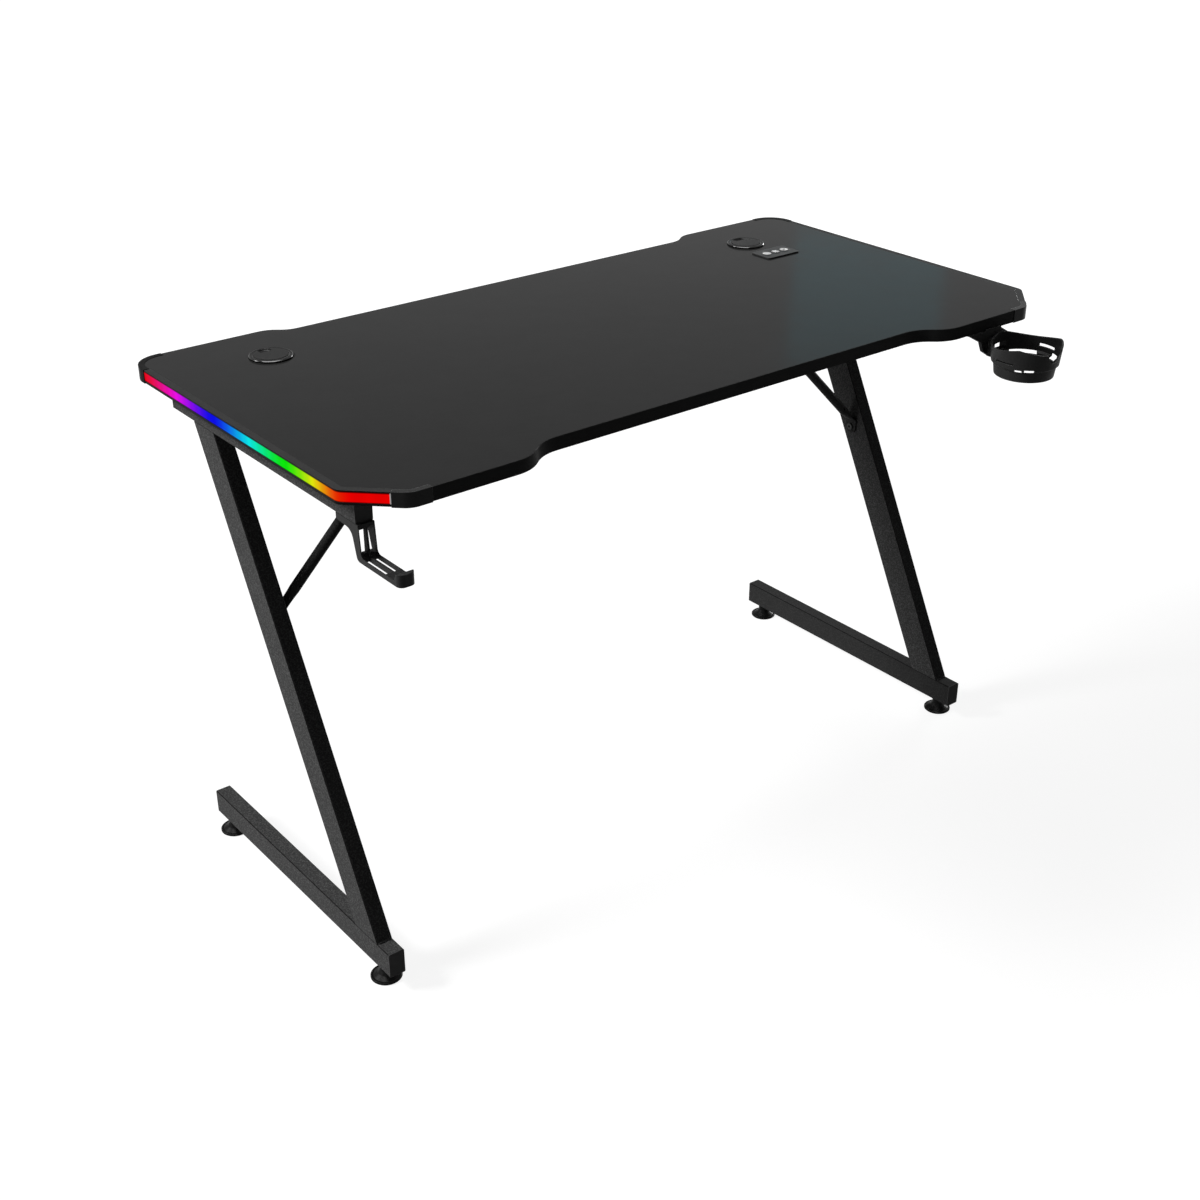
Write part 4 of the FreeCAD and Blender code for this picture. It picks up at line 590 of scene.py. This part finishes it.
def surface_piece(name, grids, body, finish):
    """One mesh piece from closed grids of points.

    Each grid is an array of rows by columns by three. Its columns wrap round, and its rows either wrap
    too or end in poles. Faces join each point to its neighbours in the next row and column; doubles at
    seams and poles are merged, and all faces turned outwards.
    """
    points = []
    faces = []
    start = 0
    for grid, wrapped in grids:
        rows, columns = grid.shape[:2]
        index = start + np.arange(rows * columns).reshape(rows, columns)
        if wrapped:
            index = np.vstack([index, index[:1]])
        beside = np.roll(index, -1, axis=1)
        quads = np.stack([index[:-1], beside[:-1], beside[1:], index[1:]], axis=-1)
        points.append(grid.reshape(-1, 3))
        faces.append(quads.reshape(-1, 4))
        start += rows * columns
    mesh = bpy.data.meshes.new(name)
    mesh.from_pydata(np.vstack(points).tolist(), [], np.vstack(faces).tolist())
    work = bmesh.new()
    work.from_mesh(mesh)
    bmesh.ops.remove_doubles(work, verts=work.verts, dist=1e-6)
    bmesh.ops.recalc_face_normals(work, faces=work.faces)
    work.to_mesh(mesh)
    work.free()
    mesh.shade_smooth()
    piece = bpy.data.objects.new(name, mesh)
    bpy.context.scene.collection.objects.link(piece)
    piece.data.materials.append(finish)
    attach(piece, body)
    return piece


def lathe(profile, centre, columns=48):
    """Profile of radius and height turned round an upright axis: x = r cos t, y = r sin t, z = h."""
    turn = np.linspace(0, FULL_TURN, columns, endpoint=False)
    radius = profile[:, 0:1]
    rise = np.repeat(profile[:, 1:2], columns, axis=1)
    flat = np.stack([radius * np.cos(turn), radius * np.sin(turn), rise], axis=-1)
    return flat + np.asarray(centre)


# Turned sleeve of a cable grommet: radii, and heights above the desk top, in millimetres
SLEEVE_BORE = 21.5
SLEEVE_RADIUS = 25.7
SEAT_RADIUS = 24.3
SEAT_HEIGHT = 1.0
FLANGE_ROUND = 2.4
ROUND_STEPS = 12
SLEEVE_COLUMNS = 128
EASE = 0.25
# Largest share of a side that an eased corner takes
EASE_SHARE = 0.3


def eased(corners, ease):
    """Closed outline with each corner cut off, so that it shades as a narrow round."""
    before = np.roll(corners, 1, axis=0) - corners
    after = np.roll(corners, -1, axis=0) - corners
    before_length = np.linalg.norm(before, axis=1, keepdims=True)
    after_length = np.linalg.norm(after, axis=1, keepdims=True)
    first = corners + before * np.minimum(ease / before_length, EASE_SHARE)
    second = corners + after * np.minimum(ease / after_length, EASE_SHARE)
    return np.stack([first, second], axis=1).reshape(-1, 2)


def turned_sleeve(side):
    """Grommet sleeve: an outline with a quarter-round rim, turned round the hole's axis."""
    low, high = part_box(f"grommet_sleeve_{side}")
    rim = (high.x - low.x) / 2 / MM
    top = high.z / MM - DESK_TOP
    drop = low.z / MM - DESK_TOP
    bend = np.linspace(0, math.pi / 2, ROUND_STEPS)
    round_r = rim - FLANGE_ROUND + FLANGE_ROUND * np.cos(bend)
    round_z = top - FLANGE_ROUND + FLANGE_ROUND * np.sin(bend)
    under = [(SLEEVE_BORE, drop), (SLEEVE_RADIUS, drop), (SLEEVE_RADIUS, 0), (rim, 0)]
    over = [(SEAT_RADIUS, top), (SEAT_RADIUS, SEAT_HEIGHT), (SLEEVE_BORE, SEAT_HEIGHT)]
    outline = np.vstack([under, np.column_stack([round_r, round_z]), over])
    centre = ((low.x + high.x) / 2, (low.y + high.y) / 2, DESK_TOP * MM)
    grid = lathe(eased(outline, EASE) * MM, centre, SLEEVE_COLUMNS)
    piece = surface_piece(f"turned_sleeve_{side}", [(grid, True)], "desk",
                          SLEEVE_FINISH)
    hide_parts(f"grommet_sleeve_{side}")


SLEEVE_FINISH = sleeve_finish()
DESK_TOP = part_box("tabletop_board")[1].z / MM
for side in ("left", "right"):
    turned_sleeve(side)

# Printed marks: height above and below the button's top, edge powers and steps
MARK_RISE = 0.12 * MM
MARK_SINK = 0.05 * MM
DOT_POWER = 6
DOT_STEPS = 14
RING_POWER = 0.5
RING_STEPS = 20
DISC_RADIUS = 7.0 * MM
RING_OUTER = 7.0 * MM
RING_INNER = 2.1 * MM
SUN_RADIUS = 4.6 * MM
RAY_COUNT = 8
RAY_RADIUS = 1.4 * MM
RAY_RING = 5.6 * MM


def dot_mark(centre, radius):
    """Printed dot: a low pad, closed underneath, of height h = rise (1 - (r/R)^6) above the button."""
    share = np.linspace(1, 0, DOT_STEPS)
    upper = np.column_stack([radius * share, MARK_RISE * (1 - share ** DOT_POWER)])
    lower = np.array([[0, -MARK_SINK], [radius, -MARK_SINK]])
    return lathe(np.vstack([lower, upper]), centre), False


def ring_mark(centre, outer, inner):
    """Printed ring: a flattened oval section turned round the button's axis."""
    turn = np.linspace(0, FULL_TURN, RING_STEPS, endpoint=False)
    middle, half = (outer + inner) / 2, (outer - inner) / 2
    oval = np.sign(np.cos(turn)) * np.abs(np.cos(turn)) ** RING_POWER
    lift = np.sign(np.sin(turn)) * np.abs(np.sin(turn)) ** RING_POWER
    profile = np.column_stack([middle + half * oval, np.where(lift > 0, MARK_RISE, MARK_SINK) * lift])
    return lathe(profile, centre), True


def mark_finish():
    """Thick white print: near-white ink with a faint mottle and a softly pitted skin."""
    return grained("white_print", colour=grey(0.78), lift=1.06, edge_tone=grey(0.82), rough=0.5, index=1.3,
                   grain_size=0.35 * MM, grain_depth=0.01 * MM, edge_radius=0.05 * MM)


WHITE_PRINT = mark_finish()


def button_top(name):
    """Middle of a button's top face."""
    low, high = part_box(f"control_button_{name}")
    return np.array([(low.x + high.x) / 2, (low.y + high.y) / 2, high.z])


rays = np.arange(RAY_COUNT) * FULL_TURN / RAY_COUNT
ray_steps = RAY_RING * np.column_stack([np.cos(rays), np.sin(rays), np.zeros(RAY_COUNT)])
left_top, middle_top, right_top = (button_top(name) for name in ("left", "middle", "right"))
sun_rays = [dot_mark(middle_top + step, RAY_RADIUS) for step in ray_steps]
MARKS = {
    "left": [dot_mark(left_top, DISC_RADIUS)],
    "middle": [dot_mark(middle_top, SUN_RADIUS)] + sun_rays,
    "right": [ring_mark(right_top, RING_OUTER, RING_INNER)],
}
for name, grids in MARKS.items():
    surface_piece(f"button_mark_{name}", grids, f"button_{name}", WHITE_PRINT)

# Weld beads: size and ripple, corner left free at a post's edges, and steps along and round a bead
BEAD_RADIUS = 1.7 * MM
RIPPLE_PITCH = 2.6 * MM
RIPPLE_LOW = 0.88
RIPPLE_HEIGHT = 0.2
CORNER = 1.8 * MM
BEAD_ROWS = 60
BEAD_COLUMNS = 14
END_POWER = 14
LOOP_ROWS = 240
LOOP_COLUMNS = 12
LOOP_POWER = 16


def rippled(distance):
    """Bead radius along a weld: a row of half-sine ripples one pitch apart."""
    ripple = np.abs(np.sin(distance * math.pi / RIPPLE_PITCH))
    return BEAD_RADIUS * (RIPPLE_LOW + RIPPLE_HEIGHT * ripple)


def straight_bead(x0, x1, y, z):
    """Weld bead along X: rippled circles in the YZ plane, closing to a point at both ends."""
    share = np.linspace(0, 1, BEAD_ROWS)
    turn = np.linspace(0, FULL_TURN, BEAD_COLUMNS, endpoint=False)
    along = x0 + (x1 - x0) * share
    radius = rippled(along - x0) * np.sqrt(1 - np.abs(2 * share - 1) ** END_POWER)
    across = radius[:, None] * np.cos(turn)
    rise = radius[:, None] * np.sin(turn)
    run = np.repeat(along[:, None], turn.size, axis=1)
    return np.stack([run, y + across, z + rise], axis=-1), False


def loop_bead(x, low, high):
    """Weld bead round a tube's end in the YZ plane: rippled circles carried round a superellipse."""
    turn = np.linspace(0, FULL_TURN, LOOP_ROWS, endpoint=False)
    bend = 2 / LOOP_POWER
    half_y, half_z = (high[0] - low[0]) / 2, (high[1] - low[1]) / 2
    y = half_y * np.sign(np.cos(turn)) * np.abs(np.cos(turn)) ** bend
    z = half_z * np.sign(np.sin(turn)) * np.abs(np.sin(turn)) ** bend
    path = np.column_stack([y, z])
    step = np.roll(path, -1, axis=0) - np.roll(path, 1, axis=0)
    tangent = step / np.linalg.norm(step, axis=1, keepdims=True)
    outward = np.column_stack([tangent[:, 1], -tangent[:, 0]])
    distance = np.concatenate([[0], np.cumsum(np.linalg.norm(np.diff(path, axis=0), axis=1))])
    radius = rippled(distance)[:, None]
    ring = np.linspace(0, FULL_TURN, LOOP_COLUMNS, endpoint=False)
    side = radius * np.cos(ring)
    out = radius * np.sin(ring)
    middle = np.array([(low[0] + high[0]) / 2, (low[1] + high[1]) / 2])
    points_y = middle[0] + path[:, 0:1] + outward[:, 0:1] * out
    points_z = middle[1] + path[:, 1:2] + outward[:, 1:2] * out
    return np.stack([x + side, points_y, points_z], axis=-1), True


for side in ("left", "right"):
    post_low, post_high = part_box(f"post_{side}")
    x0, x1 = post_low.x + CORNER, post_high.x - CORNER
    ends = ((post_low.y, post_low.z), (post_low.y + POST_FOOTPRINT, post_low.z),
            (post_high.y - POST_FOOTPRINT, post_high.z), (post_high.y, post_high.z))
    beads = [straight_bead(x0, x1, y, z) for y, z in ends]
    surface_piece(f"post_welds_{side}", beads, "desk", ROUND_PAINT)
beam_low, beam_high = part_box("crossbeam")
for side, x in (("left", beam_low.x), ("right", beam_high.x)):
    seam = loop_bead(x, (beam_low.y, beam_low.z), (beam_high.y, beam_high.z - BEAD_RADIUS))
    surface_piece(f"crossbeam_weld_{side}", [seam], "desk", ROUND_PAINT)

# Floor


def floor_finish():
    """Pale floor: faintly mottled, and white to the eye and in reflections while it keeps soft shadows.

    Its own glow rises with the distance from the desk, where the lamps fade.
    """
    material = bpy.data.materials.new("studio_floor")
    material.use_nodes = True
    material.node_tree.nodes.clear()
    tree = Tree(material.node_tree)
    where = tree.place()
    cloud = tree.noise(where, 0.8, 3.0, 0.5)
    shade = tree.mixed(tree.spread(cloud), grey(0.2), grey(0.22))
    matte = tree.add("BsdfDiffuse", None, Color=shade)
    bright = tree.add("BsdfDiffuse", None, Color=grey(0.24))
    distance = tree.add("VectorMath", {"operation": "LENGTH"})
    tree.feed(distance.inputs[0], where)
    glow = tree.ranged(distance.outputs["Value"], 1.0, 3.2, 0.88, 1.0)
    white = tree.add("Emission", None, Color=grey(1.0), Strength=glow)
    seen = tree.add("AddShader")
    tree.feed(seen.inputs[0], bright.outputs["BSDF"])
    tree.feed(seen.inputs[1], white.outputs["Emission"])
    pick = tree.add("MixShader", None, Fac=seen_by_eye(tree))
    tree.feed(pick.inputs[1], matte.outputs["BSDF"])
    tree.feed(pick.inputs[2], seen.outputs["Shader"])
    tree.add("OutputMaterial", None, Surface=pick.outputs["Shader"])
    return material


def seen_by_eye(tree):
    """1 for camera, glossy and transmission rays, 0 for the rays that only carry light."""
    path = tree.add("LightPath").outputs
    first = tree.math("MAXIMUM", path["Is Camera Ray"], path["Is Glossy Ray"])
    return tree.math("MAXIMUM", first, path["Is Transmission Ray"])


FLOOR_HALF = 40.0
FLOOR_LINES = 9
span = np.linspace(-FLOOR_HALF, FLOOR_HALF, FLOOR_LINES)
floor_x, floor_y = np.meshgrid(span, span)
floor_points = np.stack([floor_x, floor_y, np.zeros_like(floor_x)], axis=-1).reshape(-1, 3)
cell = np.arange(FLOOR_LINES * FLOOR_LINES).reshape(FLOOR_LINES, FLOOR_LINES)
squares = np.stack([cell[:-1, :-1], cell[:-1, 1:], cell[1:, 1:], cell[1:, :-1]], axis=-1)
floor_faces = squares.reshape(-1, 4)
floor_mesh = bpy.data.meshes.new("studio_floor")
floor_mesh.from_pydata(floor_points.tolist(), [], floor_faces.tolist())
floor_mesh.materials.append(floor_finish())
floor = bpy.data.objects.new("studio_floor", floor_mesh)
bpy.context.scene.collection.objects.link(floor)

# World and lamps

# Strength of the surroundings for rays that only carry light, and as they are seen
SKY_LIGHT = 0.045
SKY_SEEN = 1.0
world = bpy.data.worlds.new("studio")
bpy.context.scene.world = world
world.use_nodes = True
world.node_tree.nodes.clear()
sky = Tree(world.node_tree)
dim = sky.add("Background", None, Color=grey(1.0), Strength=SKY_LIGHT)
white = sky.add("Background", None, Color=grey(1.0), Strength=SKY_SEEN)
choice = sky.add("MixShader", None, Fac=seen_by_eye(sky))
sky.feed(choice.inputs[1], dim.outputs["Background"])
sky.feed(choice.inputs[2], white.outputs["Background"])
sky.add("OutputWorld", None, Surface=choice.outputs["Shader"])


def lamp(name, spot, target, width, height, power, colour=(1.0, 1.0, 1.0)):
    """Rectangular soft lamp at a spot, facing a target; not seen directly."""
    light = bpy.data.lights.new(name, "AREA")
    light.shape = "RECTANGLE"
    light.size = width
    light.size_y = height
    light.energy = power
    light.color = colour
    item = bpy.data.objects.new(name, light)
    item.location = spot
    item.rotation_euler = (Vector(target) - Vector(spot)).to_track_quat("-Z", "Y").to_euler()
    item.visible_camera = False
    bpy.context.scene.collection.objects.link(item)
    return item


lamp("key_lamp", spot=(-6.7, 4.5, 6.7), target=(0.0, 0.0, 0.5), width=3.0, height=2.6, power=1000.0)
lamp("fill_lamp", spot=(-8.0, 1.2, 1.2), target=(0.0, 0.0, 0.35), width=2.0, height=2.0, power=100.0)
lamp("right_lamp", spot=(8.0, 2.0, 1.4), target=(0.0, 0.0, 0.4), width=2.4, height=2.0, power=420.0)
# Small blue-green panel whose reflection lies on the right of the desk top
lamp("teal_panel", spot=(2.32, 1.68, 1.6), target=(0.4, 0.1, 0.75), width=0.46, height=0.46, power=0.3,
     colour=(0.0, 0.8, 1.0))
# Wide panel overhead that lights nothing and shows only as a highlight on glossy faces and edges
gloss_panel = lamp("gloss_panel", spot=(-0.75, -0.25, 3.0), target=(-0.6, -0.1, 0.75), width=2.4,
                   height=2.4, power=280.0)
gloss_panel.visible_diffuse = False

# Camera at the photograph's place

LENS = 50.1
SENSOR_WIDTH = 36.0
CAMERA_SPOT = (-1.4385, -1.7207, 1.5191)
CAMERA_AIM = (0.5507, 0.6917, -0.4673)
camera = bpy.data.cameras.new("camera")
camera.lens = LENS
camera.sensor_width = SENSOR_WIDTH
viewer = bpy.data.objects.new("camera", camera)
viewer.location = CAMERA_SPOT
viewer.rotation_euler = Vector(CAMERA_AIM).to_track_quat("-Z", "Y").to_euler()
bpy.context.scene.collection.objects.link(viewer)
bpy.context.scene.camera = viewer
bpy.context.scene.view_settings.view_transform = "Standard"
